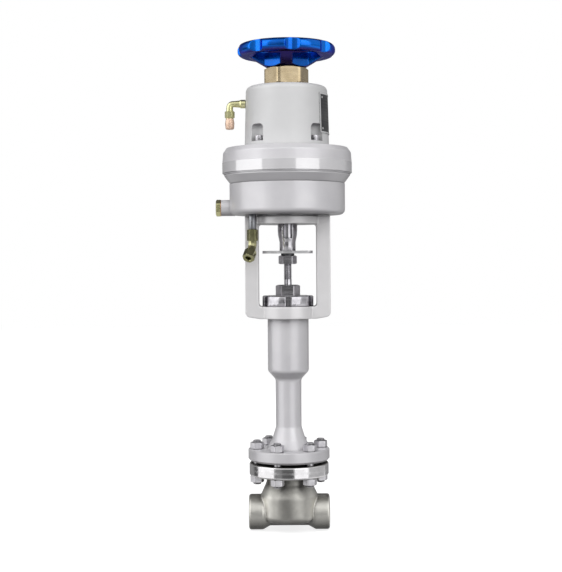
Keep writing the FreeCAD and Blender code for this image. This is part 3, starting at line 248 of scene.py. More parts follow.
def bump(tree, height, distance, strength=1, under=None):
    inputs = {"Height": height, "Distance": distance, "Strength": strength}
    if under is not None:
        inputs["Normal"] = under
    return add_node(tree, "ShaderNodeBump", inputs).outputs["Normal"]


FLAT_DOWN = -0.9
SLANTED_DOWN = -0.4


def facing_down(tree):
    """1 on surfaces that look at the ground, falling to 0 on those that slant or stand upright."""
    normal = add_node(tree, "ShaderNodeNewGeometry").outputs["Normal"]
    return remap(tree, axes(tree, normal)["Z"], 1, 0, FLAT_DOWN, SLANTED_DOWN)


# Kinds of material

PAINT_CLOUD = 45 * MM
PAINT_PATCH = 12 * MM
PAINT_PEBBLE = 1.6 * MM
PAINT_EDGE = 0.7 * MM
PAINT_CREVICE_SHADE = (8 * MM, 0.45)


def sprayed_paint(name, light, dark, under, orange_peel, crevice_shade=PAINT_CREVICE_SHADE, **sockets):
    """Sprayed paint: a little cloudy, finely pebbled, with painted shade in the corners and on faces
    that look down.
    """
    material, tree, shader = new_material(name, **sockets)
    cloud = two_tone(tree, grain(tree, PAINT_CLOUD, 4), dark, light)
    # Faces that look down take the under tone: painted shade.
    colour = add_node(tree, "ShaderNodeMix", {"Factor": facing_down(tree), 6: cloud, 7: (*under, 1)},
                      data_type="RGBA").outputs[2]
    peel = bump(tree, grain(tree, PAINT_PEBBLE, 2), orange_peel, under=eased(tree, PAINT_EDGE))
    link(tree, shader, Base_Color=paint_crevice_shade(tree, colour, *crevice_shade), Normal=peel,
         Roughness=uneven(tree, grain(tree, PAINT_PATCH), sockets["Roughness"]))
    return material


CUT_LINE = 0.5 * MM
CUT_DEPTH = 0.006 * MM
CUT_EDGE = 0.35 * MM
CUT_STAIN = 14 * MM
CUT_CREVICE_SHADE = (3 * MM, 0.35)


def turned_surface(tree, shader, light, dark, roughness):
    """Metal cut on a lathe: fine rings round the stem axis, with faint stains and painted shade where
    surfaces meet.
    """
    shader.inputs["Metallic"].default_value = 1
    place = turned_place(tree)
    rings = grain(tree, CUT_LINE, 2, place)
    stain = two_tone(tree, grain(tree, CUT_STAIN, 4), dark, light)
    link(tree, shader, Base_Color=paint_crevice_shade(tree, stain, *CUT_CREVICE_SHADE),
         Roughness=uneven(tree, grain(tree, CUT_LINE * 6, 2, place), roughness, 0.7, 1.4),
         Normal=bump(tree, rings, CUT_DEPTH, under=eased(tree, CUT_EDGE)))


def turned_metal(name, light, dark, roughness):
    material, tree, shader = new_material(name)
    turned_surface(tree, shader, light, dark, roughness)
    return material


CAST_STAIN = 16 * MM
CAST_PEBBLE = 1.1 * MM
CAST_DEPTH = 0.035 * MM
CAST_WAVE = 9 * MM
CAST_WAVE_DEPTH = CAST_DEPTH * 2.5
CAST_EDGE = 0.8 * MM
CAST_PATCH = 6 * MM
CAST_CREVICE_SHADE = (32 * MM, 0.15)


def cast_metal(name, light, dark, roughness):
    """A blasted casting: matt and pebbled, with broad stains, and painted shade in its corners and
    under overhangs.
    """
    material, tree, shader = new_material(name, Metallic=1)
    stain = two_tone(tree, grain(tree, CAST_STAIN, 5, roughness=0.6), dark, light, 0.3, 0.7)
    fine = bump(tree, grain(tree, CAST_PEBBLE, 4), CAST_DEPTH, under=eased(tree, CAST_EDGE))
    link(tree, shader, Base_Color=paint_crevice_shade(tree, stain, *CAST_CREVICE_SHADE),
         Roughness=uneven(tree, grain(tree, CAST_PATCH), roughness),
         Normal=bump(tree, grain(tree, CAST_WAVE), CAST_WAVE_DEPTH, under=fine))
    return material


BALL_SIZE = 0.9 * MM
BALL_DEPTH = 0.25 * MM


def sintered_metal(name, light, dark):
    """Small balls of bronze fused together."""
    material, tree, shader = new_material(name, Metallic=0.8, Roughness=0.5)
    balls = add_node(tree, "ShaderNodeTexVoronoi",
                     {"Vector": object_place(tree), "Scale": 1 / BALL_SIZE}).outputs["Distance"]
    link(tree, shader, Base_Color=two_tone(tree, balls, light, dark, 0.25, 0.7),
         Normal=bump(tree, balls, BALL_DEPTH, -1))
    return material


MOTTLE = 3 * MM
MOULD_PEBBLE = 0.5 * MM
MOULD_DEPTH = 0.02 * MM


def moulded(name, light, dark, roughness):
    """Rubber, graphite or plastic: matt, with a faint mottle."""
    material, tree, shader = new_material(name)
    mottle = grain(tree, MOTTLE)
    link(tree, shader, Base_Color=two_tone(tree, mottle, dark, light),
         Roughness=uneven(tree, mottle, roughness, most=1.15),
         Normal=bump(tree, grain(tree, MOULD_PEBBLE), MOULD_DEPTH))
    return material


def half_machined(name, rough, crisp, mask):
    """Two finished metals on one piece: the second, turned one shows where mask(tree) is 1."""
    material = rough.copy()
    material.name = name
    tree = material.node_tree
    skin = add_node(tree, "ShaderNodeBsdfPrincipled")
    turned_surface(tree, skin, *crisp)
    mixed = add_node(tree, "ShaderNodeMixShader", {
        0: mask(tree), 1: tree.nodes[SURFACE].outputs[0], 2: skin.outputs[0]})
    tree.links.new(mixed.outputs[0], tree.nodes["Material Output"].inputs["Surface"])
    return material


FLANGE_THICKNESS = 20 * MM
RIM_SKIN = 0.8 * MM
END_SKIN = 0.3 * MM


def body_machining(tree):
    """1 on the rim of the body flange and on the end faces of the two sockets."""
    away, reach = from_stem(tree)
    place = axes(tree, away)
    low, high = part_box("valve_body")
    rim = number_from(tree, "GREATER_THAN", reach, node_radius("valve_body") - RIM_SKIN)
    upper = number_from(tree, "GREATER_THAN", place["Z"], high.z - FLANGE_THICKNESS)
    sideways = number_from(tree, "ABSOLUTE", place["X"])
    end = number_from(tree, "GREATER_THAN", sideways, (high.x - low.x) / 2 - END_SKIN)
    return number_from(tree, "MAXIMUM", product(tree, rim, upper), end)


BOWL_REACH = 22 * MM
BOWL_EDGE = 12 * MM
BOWL_PAINTED_SHADE = 0.74
SOCKET_PAINTED_LIGHT = 1.25


def paint_bowl_shade(tree):
    """The bowl of a casting painted a shade darker, and the two sockets beside it painted lighter:
    painted shade and painted light.
    """
    along = axes(tree, object_place(tree))["X"]
    share = between(tree, along, STEM_X - BOWL_REACH, STEM_X + BOWL_REACH, BOWL_EDGE)
    shader = tree.nodes[SURFACE]
    colour = shader.inputs["Base Color"].links[0].from_socket
    link(tree, shader, Base_Color=shaded(tree, colour, blend(tree, share, SOCKET_PAINTED_LIGHT, BOWL_PAINTED_SHADE)))


LACQUER_ROUGHNESS = 0.07
LACQUER_IOR = 3.0
LACQUER_ELSEWHERE = 0.06
LACQUER_EDGE = 0.5 * MM


def lacquered(name, paint, low, high):
    """A paint with a band of hard, clear lacquer between two levels."""
    material = paint.copy()
    material.name = name
    tree = material.node_tree
    shader = tree.nodes[SURFACE]
    shader.inputs["Coat Roughness"].default_value = LACQUER_ROUGHNESS
    shader.inputs["Coat IOR"].default_value = LACQUER_IOR
    band = between(tree, axes(tree, object_place(tree))["Z"], low, high, LACQUER_EDGE)
    link(tree, shader, Coat_Weight=blend(tree, band, LACQUER_ELSEWHERE, 1.0))
    return material


# Materials: the light tone, the dark tone, and then the roughness, or for a paint its painted shade on
# faces that look down

SATIN_ENAMEL = {"Metallic": 0.2, "Roughness": 0.34, "Coat_Weight": 0.35, "Coat_Roughness": 0.14}
LATHE_WORK = {
    "zinc_steel": ((0.72, 0.71, 0.74), (0.60, 0.59, 0.61), 0.4),
    "bright_steel": ((0.70, 0.69, 0.72), (0.50, 0.49, 0.52), 0.17),
    "spring_steel": ((0.34, 0.35, 0.37), (0.24, 0.24, 0.26), 0.35),
    "brass": ((0.56, 0.54, 0.31), (0.36, 0.35, 0.18), 0.18),
    "pale_brass": ((0.95, 0.92, 0.54), (0.78, 0.76, 0.40), 0.24),
    "warm_brass": ((0.60, 0.49, 0.32), (0.50, 0.40, 0.25), 0.26),
    "bronze": ((0.62, 0.43, 0.24), (0.5, 0.34, 0.18), 0.3),
    "copper": ((0.78, 0.47, 0.33), (0.64, 0.36, 0.24), 0.28),
    "aluminium": ((0.82, 0.82, 0.83), (0.72, 0.72, 0.73), 0.42),
    "dark_plate": ((0.11, 0.11, 0.115), (0.07, 0.07, 0.075), 0.35),
}
MOULDINGS = {
    "black_seal": ((0.03, 0.03, 0.032), (0.018, 0.018, 0.02), 0.55),
    "white_seal": ((0.82, 0.82, 0.80), (0.74, 0.74, 0.72), 0.5),
    "graphite": ((0.05, 0.05, 0.055), (0.03, 0.03, 0.032), 0.6),
}
MACHINED_STAINLESS = ((0.78, 0.77, 0.78), (0.66, 0.65, 0.66), 0.17)

MATERIALS = {name: turned_metal(name, *looks) for name, looks in LATHE_WORK.items()}
MATERIALS.update({name: moulded(name, *looks) for name, looks in MOULDINGS.items()})
MATERIALS["cast_stainless"] = cast_metal("cast_stainless", (0.60, 0.59, 0.55), (0.50, 0.49, 0.46), 0.4)
MATERIALS["sintered_bronze"] = sintered_metal("sintered_bronze", (1.0, 0.80, 0.65), (0.72, 0.48, 0.35))
MATERIALS["grey_paint"] = sprayed_paint(
    "grey_paint", (0.66, 0.65, 0.67), (0.61, 0.60, 0.625), (0.40, 0.39, 0.41), 0.025 * MM,
    **SATIN_ENAMEL)
MATERIALS["blue_paint"] = sprayed_paint(
    "blue_paint", (0.001, 0.17, 0.76), (0.001, 0.12, 0.60), (0.05, 0.018, 0.17), 0.02 * MM,
    crevice_shade=(40 * MM, 0.1), Metallic=0.9, Roughness=0.16, Coat_Weight=0.2, Coat_Roughness=0.03,
    Coat_IOR=1.6, Specular_Tint=(0.06, 0.12, 0.6, 1))
# A lighter copy of the grey paint: painted light on the yoke, which the drum above shades.
yoke_paint_painted_lighter = sprayed_paint(
    "yoke_paint_painted_lighter", (0.76, 0.75, 0.76), (0.71, 0.70, 0.71), (0.42, 0.41, 0.42), 0.025 * MM,
    **SATIN_ENAMEL)
# A darker, matter copy of the grey paint: the darker tone is painted shade, the matt finish is the
# paint's own.
housing_paint_painted_darker = sprayed_paint(
    "housing_paint_painted_darker", (0.62, 0.62, 0.625), (0.585, 0.585, 0.59), (0.40, 0.39, 0.41), 0.03 * MM,
    Metallic=0.05, Roughness=0.5, Coat_Weight=0.2, Coat_Roughness=0.25)

BAND_LOW = 2 * MM
BAND_HIGH = 17 * MM
cover_low = levels("cylinder_cover")[0]
lacquered_cover = lacquered(
    "lacquered_cover", MATERIALS["grey_paint"], cover_low + BAND_LOW, cover_low + BAND_HIGH)

body_casting = half_machined(
    "body_casting", MATERIALS["cast_stainless"], MACHINED_STAINLESS, body_machining)
paint_bowl_shade(body_casting.node_tree)

for name, node in nodes.items():
    node.data.materials.clear()
    node.data.materials.append(MATERIALS[SLOT_OF[name]])
# Finishes of single nodes; the yoke's, the housing's, the nipple's and the collar's carry painted light
# or painted shade.
OWN_FINISHES_AND_PAINTED_LIGHT = {
    "cylinder_cover": lacquered_cover,
    "yoke": yoke_paint_painted_lighter,
    "spring_housing": housing_paint_painted_darker,
    "valve_body": body_casting,
    # The nipple and the collar take darker finishes than their steel: painted shade, where the drum and
    # the travel plate shade them.
    "air_inlet_nipple": MATERIALS["spring_steel"],
    "lock_collar": MATERIALS["dark_plate"],
}
for name, material in OWN_FINISHES_AND_PAINTED_LIGHT.items():
    nodes[name].data.materials[0] = material

# Mesh helpers

SHARP = math.radians(35)
SAME_POINT = 0.002 * MM
FILLET_STEPS = 6
BEND_STEPS = 10


def soft_edges(piece, width):
    """Break the sharp edges of a piece that keeps its own mesh."""
    weld = piece.modifiers.new("weld", "WELD")
    weld.merge_threshold = SAME_POINT
    bevel = piece.modifiers.new("edges", "BEVEL")
    bevel.width = width
    bevel.segments = 2
    bevel.limit_method = "ANGLE"
    bevel.angle_limit = SHARP
    bevel.harden_normals = True


def cast_skin(piece, voxel, passes):
    """Rebuild a surface in even squares and let them relax, as sand casting rounds edges."""
    grid = piece.modifiers.new("even_skin", "REMESH")
    grid.mode = "VOXEL"
    grid.voxel_size = voxel
    grid.use_smooth_shade = True
    relax = piece.modifiers.new("worn_edges", "SMOOTH")
    relax.factor = 0.5
    relax.iterations = passes


def make_piece(name, mesh, stands_for=None, body=None, slot=None):
    """A new piece that rides like, and is finished like, the CAD node that it stands for."""
    piece = bpy.data.objects.new(name, mesh)
    bpy.context.scene.collection.objects.link(piece)
    slot = slot or SLOT_OF[stands_for]
    mesh.materials.clear()
    mesh.materials.append(MATERIALS[slot])
    mesh.shade_smooth()
    mesh.set_sharp_from_angle(angle=SHARP)
    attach(piece, body or BODY_OF[stands_for])
    if stands_for:
        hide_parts(stands_for)
    return piece


def moved(mesh, place, turn=0):
    """The mesh turned about the upright axis and set at a place."""
    mesh.transform(Matrix.Translation(place) @ Matrix.Rotation(turn, 4, "Z"))
    return mesh


def laid(mesh, place, axis):
    """The mesh with its upright axis laid along another, set at a place."""
    turn = Vector(axis).to_track_quat("Z", "X").to_matrix().to_4x4()
    mesh.transform(Matrix.Translation(place) @ turn)
    return mesh


def joined(name, meshes):
    """One mesh of several closed shells."""
    shape = bmesh.new()
    for mesh in meshes:
        shape.from_mesh(mesh)
        bpy.data.meshes.remove(mesh)
    result = bpy.data.meshes.new(name)
    shape.to_mesh(result)
    shape.free()
    return result


def closed_mesh(name, shape):
    """The mesh of a closed shape, with its faces turned outwards."""
    bmesh.ops.recalc_face_normals(shape, faces=shape.faces)
    mesh = bpy.data.meshes.new(name)
    shape.to_mesh(mesh)
    shape.free()
    return mesh


def rounded(corners):
    """Points along a line of corners (x, y), or (x, y, radius) for one turned with an arc."""
    points = []
    for index, corner in enumerate(corners):
        here = Vector(corner[:2])
        if len(corner) == 2 or index in (0, len(corners) - 1):
            points.append(here)
            continue
        back = (Vector(corners[index - 1][:2]) - here).normalized()
        ahead = (Vector(corners[index + 1][:2]) - here).normalized()
        half = back.angle(ahead) / 2
        reach = corner[2] / math.tan(half)
        centre = here + (back + ahead).normalized() * (corner[2] / math.sin(half))
        first, last = here + back * reach - centre, here + ahead * reach - centre
        sweep = first.angle_signed(last)
        for step in range(FILLET_STEPS + 1):
            turn = Matrix.Rotation(-sweep * step / FILLET_STEPS, 2)
            points.append(centre + turn @ first)
    return points


def skin_mesh(name, rows, segments=96):
    """A closed skin over rows of (radius, level) about the Z axis; either may change with the angle."""
    shape = bmesh.new()
    rings = []
    for radius, level in rows:
        if radius == 0:
            rings.append([shape.verts.new((0, 0, level))])
            continue
        ring = []
        for index in range(segments):
            angle = FULL_TURN * index / segments
            reach = radius(angle) if callable(radius) else radius
            height = level(angle) if callable(level) else level
            ring.append(shape.verts.new((reach * math.cos(angle), reach * math.sin(angle), height)))
        rings.append(ring)
    pairs = list(zip(rings, rings[1:]))
    if len(rings[0]) > 1 and len(rings[-1]) > 1:
        pairs.append((rings[-1], rings[0]))
    for low, high in pairs:
        for index in range(segments):
            after = (index + 1) % segments
            corners = [low[index % len(low)], low[after % len(low)],
                       high[after % len(high)], high[index % len(high)]]
            corners = list(dict.fromkeys(corners))
            if len(corners) > 2:
                shape.faces.new(corners)
    return closed_mesh(name, shape)


def lathe_mesh(name, corners, segments=96):
    """A mesh turned from a profile of (radius, level) or (radius, level, rounding) corners."""
    return skin_mesh(name, [tuple(point) for point in rounded(corners)], segments)


HEX_CORNER = 0.985
HEX_FACE = 0.94


def hex_radius(flats, limit=1.0):
    """The reach of a hexagon at an angle; corners beyond the limit's share of the reach are eased."""
    corner = flats / math.sqrt(3) * limit
    return lambda angle: min(flats / 2 / math.cos(angle % SIXTH_TURN - SIXTH_TURN / 2), corner)


def hex_mesh(name, flats, height, bore=0, slope=0.5, low_chamfer=True, post=()):
    """A hexagon nut or head: a chamfer leaves a round face and a curved line on each flat."""
    side = hex_radius(flats, HEX_CORNER)
    face_radius = flats / 2 * HEX_FACE

    def drop(angle):
        return (side(angle) - face_radius) * slope

    def high(angle):
        return height - drop(angle)

    foot = [(face_radius, 0), (side, drop)] if low_chamfer else [(side, 0)]
    rows = [(bore, 0), *foot, (side, high), (face_radius, height)]
    rows += list(post) or [(bore, height)]
    return skin_mesh(name, rows)


THREAD_DEPTH = 0.55
THREAD_CHAMFER = 0.6
THREAD_FLANK = 1.3
THREAD_CREST = 0.15
THREAD_STEPS = 6
THREAD_SEGMENTS = 48


def thread_mesh(name, radius, pitch, low, high, cuts):
    """A rod from low to high with a screw thread over each (start, end) of the cuts."""
    depth = pitch * THREAD_DEPTH
    chamfer = pitch * THREAD_CHAMFER

    def cut(level):
        def reach(angle):
            turn = (level / pitch - angle / FULL_TURN) % 1
            ridge = min(1, max(0, abs(turn * 2 - 1) * THREAD_FLANK - THREAD_CREST))
            return radius - depth * ridge
        return reach

    rows = [(0, low), (radius - chamfer, low), (radius, low + chamfer)]
    for start, end in cuts:
        start = max(start, low + chamfer)
        end = min(end, high - chamfer)
        count = max(2, round((end - start) / pitch * THREAD_STEPS))
        places = [start + (end - start) * step / count for step in range(count + 1)]
        rows += [(cut(place), place) for place in places]
    rows += [(radius, high - chamfer), (radius - chamfer, high), (0, high)]
    return skin_mesh(name, rows, THREAD_SEGMENTS)


def bar_mesh(name, rings):
    """A closed bar through rings of points, with its two ends filled."""
    shape = bmesh.new()
    loops = [[shape.verts.new(point) for point in ring] for ring in rings]
    for near, far in zip(loops, loops[1:]):
        for index in range(len(near)):
            after = (index + 1) % len(near)
            shape.faces.new((near[index], near[after], far[after], far[index]))
    shape.faces.new(loops[0])
    shape.faces.new(loops[-1])
    return closed_mesh(name, shape)


def sweep_mesh(name, path, radii, side, segments=48):
    """A bar along a path of points in a plane whose normal is side, with its radius at each point."""
    turns = [FULL_TURN * step / segments for step in range(segments)]
    rings = []
    for index, (point, radius) in enumerate(zip(path, radii)):
        before = path[max(index - 1, 0)]
        after = path[min(index + 1, len(path) - 1)]
        across = (after - before).normalized().cross(side).normalized()
        rings.append([
            point + (side * math.cos(turn) + across * math.sin(turn)) * radius for turn in turns])
    return bar_mesh(name, rings)


SPRING_STEPS = 48
SPRING_FLAT = 0.8


def spring_mesh(name, centre, mean, wire, low, high, turns):
    """A compression spring of square wire with softened edges, between two levels."""
    half = wire / 2
    flat = half * SPRING_FLAT
    section = [(half, flat), (flat, half), (-flat, half), (-half, flat),
               (-half, -flat), (-flat, -half), (flat, -half), (half, -flat)]
    count = turns * SPRING_STEPS
    rings = []
    for index in range(count + 1):
        turn = FULL_TURN * index / SPRING_STEPS
        level = low + half + (high - low - wire) * index / count
        rings.append([
            (centre.x + (mean + out) * math.cos(turn),
             centre.y + (mean + out) * math.sin(turn), level + up)
            for out, up in section])
    return bar_mesh(name, rings)


def bend_path(points, radius):
    """A path through three points whose corner is rounded."""
    first, corner, last = points
    back = (first - corner).normalized()
    ahead = (last - corner).normalized()
    half = back.angle(ahead) / 2
    reach = radius / math.tan(half)
    centre = corner + (back + ahead).normalized() * (radius / math.sin(half))
    start = corner + back * reach - centre
    end = corner + ahead * reach - centre
    arc = [centre + start.slerp(end, step / BEND_STEPS).normalized() * radius
           for step in range(BEND_STEPS + 1)]
    return [first, *arc, last]


class Island:
    """One separate solid of a CAD node, with its place and its size."""

    def __init__(self, points):
        self.points = points
        self.low = Vector([min(point[axis] for point in points) for axis in range(3)])
        self.high = Vector([max(point[axis] for point in points) for axis in range(3)])
        self.centre = (self.low + self.high) / 2
        self.size = self.high - self.low

    def reaches(self):
        """(distance from the upright middle line, angle) of every corner."""
        away = [point - self.centre for point in self.points]
        return [(math.hypot(step.x, step.y), math.atan2(step.y, step.x)) for step in away]


def islands(name):
    """The separate solids of a CAD node."""
    shape = bmesh.new()
    shape.from_mesh(nodes[name].data)
    bmesh.ops.remove_doubles(shape, verts=shape.verts, dist=SAME_POINT)
    left = set(shape.verts)
    found = []
    while left:
        start = left.pop()
        group = [start]
        for vertex in group:
            for edge in vertex.link_edges:
                other = edge.other_vert(vertex)
                if other in left:
                    left.remove(other)
                    group.append(other)
        found.append(Island([vertex.co.copy() for vertex in group]))
    shape.free()
    return found


# Castings: the sharp edges of the CAD meshes wear to a radius

for name, voxel, passes in (("valve_body", 0.8, 4), ("handwheel", 0.7, 3), ("yoke", 0.9, 3)):
    cast_skin(nodes[name], voxel * MM, passes)

# Turned and milled pieces that keep their CAD mesh

for name, width in (("coupling", 0.6), ("yoke_nut", 0.7), ("travel_plate", 0.5), ("lock_collar", 0.4),
                    ("coupling_pin", 0.5), ("air_inlet_nipple", 0.4), ("handwheel_washer", 0.3)):
    soft_edges(nodes[name], width * MM)

# Nuts, studs and the stem

PITCH = {"stud": 1.75 * MM, "stem": 1.5 * MM, "plug": 1.5 * MM}
END_DEPTH = 1 * MM


def hex_nuts(name, post=False, **settings):
    """Chamfered hexagons in place of a node's nuts, one for each of its solids."""
    meshes = []
    for nut in islands(name):
        reaches = nut.reaches()
        corner, turn = max(reaches)
        bore = min(reaches)[0]
        height = nut.size.z
        extra = ()
        if post:
            post_radius = max(
                math.hypot(point.x - nut.centre.x, point.y - nut.centre.y)
                for point in nut.points if nut.high.z - point.z < END_DEPTH)
            extra = ((post_radius, post), (post_radius, height), (bore, height))
            height = post
        mesh = hex_mesh(name, corner * math.sqrt(3), height, bore, post=extra, **settings)
        meshes.append(moved(mesh, Vector((nut.centre.x, nut.centre.y, nut.low.z)), turn))
    return make_piece(f"{name}_detail", joined(name, meshes), name)


for name in ("bonnet_nuts", "body_flange_nuts", "gland_nut", "stem_lock_nut", "handwheel_nut"):
    hex_nuts(name)
hex_nuts("drive_nut", post=levels("handwheel")[0] - levels("drive_nut")[0], slope=0.4)

flange_low, flange_high = levels("body_flange_nuts")[1], levels("bonnet_nuts")[0]
overrun = PITCH["stud"] * 2
studs = []
for stud in islands("bonnet_studs"):
    rod = thread_mesh("stud", stud.size.x / 2, PITCH["stud"], stud.low.z, stud.high.z,
                      [(stud.low.z, flange_low + overrun), (flange_high - overrun, stud.high.z)])
    studs.append(moved(rod, Vector((stud.centre.x, stud.centre.y, 0))))
make_piece("bonnet_studs_detail", joined("studs", studs), "bonnet_studs")

THREAD_ABOVE_GLAND = 8 * MM
thread_start = levels("gland_nut")[1] + THREAD_ABOVE_GLAND
stem_rod = thread_mesh("stem", node_radius("stem"), PITCH["stem"], *levels("stem"),
                       [(thread_start, levels("lock_collar")[1])])
make_piece("stem_detail", moved(stem_rod, STEM), "stem")

# The return spring: square wire coiled between the levels of its node, on a mesh of its own

SPRING_WIRE = 9 * MM
SPRING_TURNS = 6
spring_low, spring_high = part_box("return_spring")
spring_mean = (spring_high.x - spring_low.x - SPRING_WIRE) / 2
coil = spring_mesh("return_spring_detail", STEM, spring_mean, SPRING_WIRE, spring_low.z, spring_high.z,
                   SPRING_TURNS)
spring = make_piece("return_spring_detail", coil, "return_spring")
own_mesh(spring)

# Screws in the pockets of the spring housing

KNURLS = 36
KNURL_DEPTH = 0.12 * MM
SCREW_EDGE = 0.7 * MM
HEAD_SHARE = 0.9


def cap_screw_mesh(screw):
    """A screw with a knurled round head and a hexagon socket."""
    reaches = [reach for reach, _ in screw.reaches()]
    head, key = max(reaches), min(reaches)
    low, top = screw.low.z, screw.high.z
    seat = min(point.z for point, reach in zip(screw.points, reaches) if reach > head * HEAD_SHARE)
    shank = max(reach for point, reach in zip(screw.points, reaches) if point.z < low + END_DEPTH)
    socket = hex_radius(key * math.sqrt(3))

    def knurled(angle):
        return head - KNURL_DEPTH * (1 + math.cos(angle * KNURLS))

    rows = [(0, low), (shank - SCREW_EDGE, low), (shank, low + SCREW_EDGE), (shank, seat),
            (head - SCREW_EDGE / 2, seat), (knurled, seat + SCREW_EDGE),
            (knurled, top - SCREW_EDGE * 2), (head - SCREW_EDGE / 3, top - SCREW_EDGE),
            (head - SCREW_EDGE, top), (socket, top), (socket, top - key), (0, top - key)]
    return moved(skin_mesh("screw", rows, KNURLS * 4), Vector((screw.centre.x, screw.centre.y, 0)))


screws = [cap_screw_mesh(screw) for screw in islands("housing_screws")]
make_piece("housing_screws_detail", joined("housing_screws", screws), "housing_screws")

# Breather: an arm, a knee, a grooved hexagon bar and the silencer below it

ARM_ROOT = 6.4 * MM
ARM_ROOT_LENGTH = 7 * MM
ARM_ROOT_ROUND = 1 * MM
ARM_NECK = 8.5 * MM
ARM_NECK_ROUND = 0.5 * MM
ARM_END = 4.6 * MM
LEG = 5 * MM
WALL_INSET = 1.6 * MM
KNEE_CLEAR = 7 * MM
KNEE_BEND = 5.6 * MM
KNEE_INTO_ARM = 1 * MM
KNEE_INTO_BAR = 0.5 * MM
BAR_LENGTH = 10 * MM
COLLAR = LEG + 0.6 * MM
GROOVE = 0.9 * MM
silencer_low, silencer_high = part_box("breather_silencer")
elbow_low, elbow_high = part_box("breather_elbow")
housing_low, housing_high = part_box("spring_housing")
knee = Vector(((silencer_low.x + silencer_high.x) / 2, 0, elbow_high.z - ARM_ROOT))
wall = housing_low.x + WALL_INSET
bar_low, bar_top = silencer_high.z, silencer_high.z + BAR_LENGTH
bar_foot = Vector((knee.x, 0, bar_low))
arm_length = wall - knee.x - KNEE_CLEAR
arm = lathe_mesh("arm", [
    (0, wall - elbow_high.x), (LEG, wall - elbow_high.x), (LEG, 0), (ARM_ROOT, 0),
    (ARM_ROOT, ARM_ROOT_LENGTH, ARM_ROOT_ROUND), (ARM_ROOT - ARM_ROOT_ROUND, ARM_NECK, ARM_NECK_ROUND),
    (ARM_END, arm_length), (0, arm_length)], segments=64)
turned_knee = bend_path([Vector((wall - arm_length + KNEE_INTO_ARM, 0, knee.z)), knee,
                         Vector((knee.x, 0, bar_top - KNEE_INTO_BAR))], KNEE_BEND)
last = len(turned_knee) - 1
knuckle = sweep_mesh("knuckle", turned_knee,
                     [ARM_END + (LEG - ARM_END) * step / last for step in range(last + 1)],
                     Vector((0, 1, 0)))
bar = hex_mesh("bar", elbow_high.y - elbow_low.y, bar_top - bar_low)
collar_top = bar_top - bar_low + GROOVE
collar = lathe_mesh("collar", [(0, -GROOVE), (COLLAR, -GROOVE), (COLLAR, collar_top), (0, collar_top)],
                    segments=48)
elbow = joined("breather_elbow", [
    laid(arm, Vector((wall, 0, knee.z)), OUTWARD), knuckle,
    moved(bar, bar_foot), moved(collar, bar_foot)])
make_piece("breather_elbow_detail", elbow, "breather_elbow")

SILENCER_NOSE = 0.8 * MM
SILENCER_NOSE_ROUND = 2.6 * MM
SILENCER_BELLY = 0.55
SILENCER_BELLY_ROUND = 4 * MM
SILENCER_NECK = 1.2 * MM
silencer_radius = node_radius("breather_silencer")
silencer_height = silencer_high.z - silencer_low.z
silencer = lathe_mesh("silencer", [
    (0, 0), (silencer_radius - SILENCER_NOSE, 0, SILENCER_NOSE_ROUND),
    (silencer_radius, silencer_height * SILENCER_BELLY, SILENCER_BELLY_ROUND),
    (silencer_radius - SILENCER_NECK, silencer_height - GROOVE),
    (0, silencer_height - GROOVE)], segments=64)
silencer = moved(silencer, Vector((knee.x, 0, silencer_low.z)))
make_piece("breather_silencer_detail", silencer, "breather_silencer")

# Fusible plug: a hexagon head with a sunk core, and its thread

CORE = 4 * MM
CORE_CHAMFER = 0.6 * MM
CORE_DEPTH = 1.5 * MM
PLUG_THREAD = 7.9 * MM
PLUG_NECK = 2 * MM
plug_low, plug_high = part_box("fusible_plug")
washer_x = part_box("fusible_plug_washer")[0].x
plug_head = washer_x - plug_low.x
plug_foot = washer_x - plug_high.x
head = hex_mesh("head", plug_high.y - plug_low.y, plug_head, slope=0.55, low_chamfer=False, post=(
    (CORE + CORE_CHAMFER, plug_head), (CORE, plug_head - CORE_CHAMFER), (CORE, plug_head - CORE_DEPTH),
    (0, plug_head - CORE_DEPTH)))
shank = thread_mesh("shank", PLUG_THREAD, PITCH["plug"], plug_foot, 0, [(plug_foot, -PLUG_NECK)])
plug_place = Vector((washer_x, 0, (plug_low.z + plug_high.z) / 2))
plug = laid(joined("fusible_plug", [head, shank]), plug_place, OUTWARD)
make_piece("fusible_plug_detail", plug, "fusible_plug")

# Air inlet: a union nut on a forged elbow

mount = next(item for item in frame["record"]["mounts"] if item["name"] == "air_inlet_tube")
tube_mouth, tube_axis = Vector(mount["pos_m"]), Vector(mount["axis"]).normalized()
tube_bore = mount["dims"]["r_mm"] * MM


def along_tube(name):
    """(distance before the tube's mouth, distance from its middle line) of a node's corners."""
    steps = [vertex.co - tube_mouth for vertex in nodes[name].data.vertices]
    return [(-step.dot(tube_axis), step.cross(tube_axis).length) for step in steps]


UNION_CHAMFER = 0.8 * MM
reach = along_tube("air_inlet_nut")
nut_back = max(back for back, _ in reach)
nut_length = nut_back - min(back for back, _ in reach)
nut_flats = max(out for _, out in reach) * math.sqrt(3)
nut_foot = tube_mouth - tube_axis * nut_back
union = hex_mesh("union", nut_flats, nut_length, tube_bore, slope=0.6, post=(
    (tube_bore + UNION_CHAMFER, nut_length), (tube_bore, nut_length - UNION_CHAMFER)))
make_piece("air_inlet_nut_detail", laid(union, nut_foot, tube_axis), "air_inlet_nut")

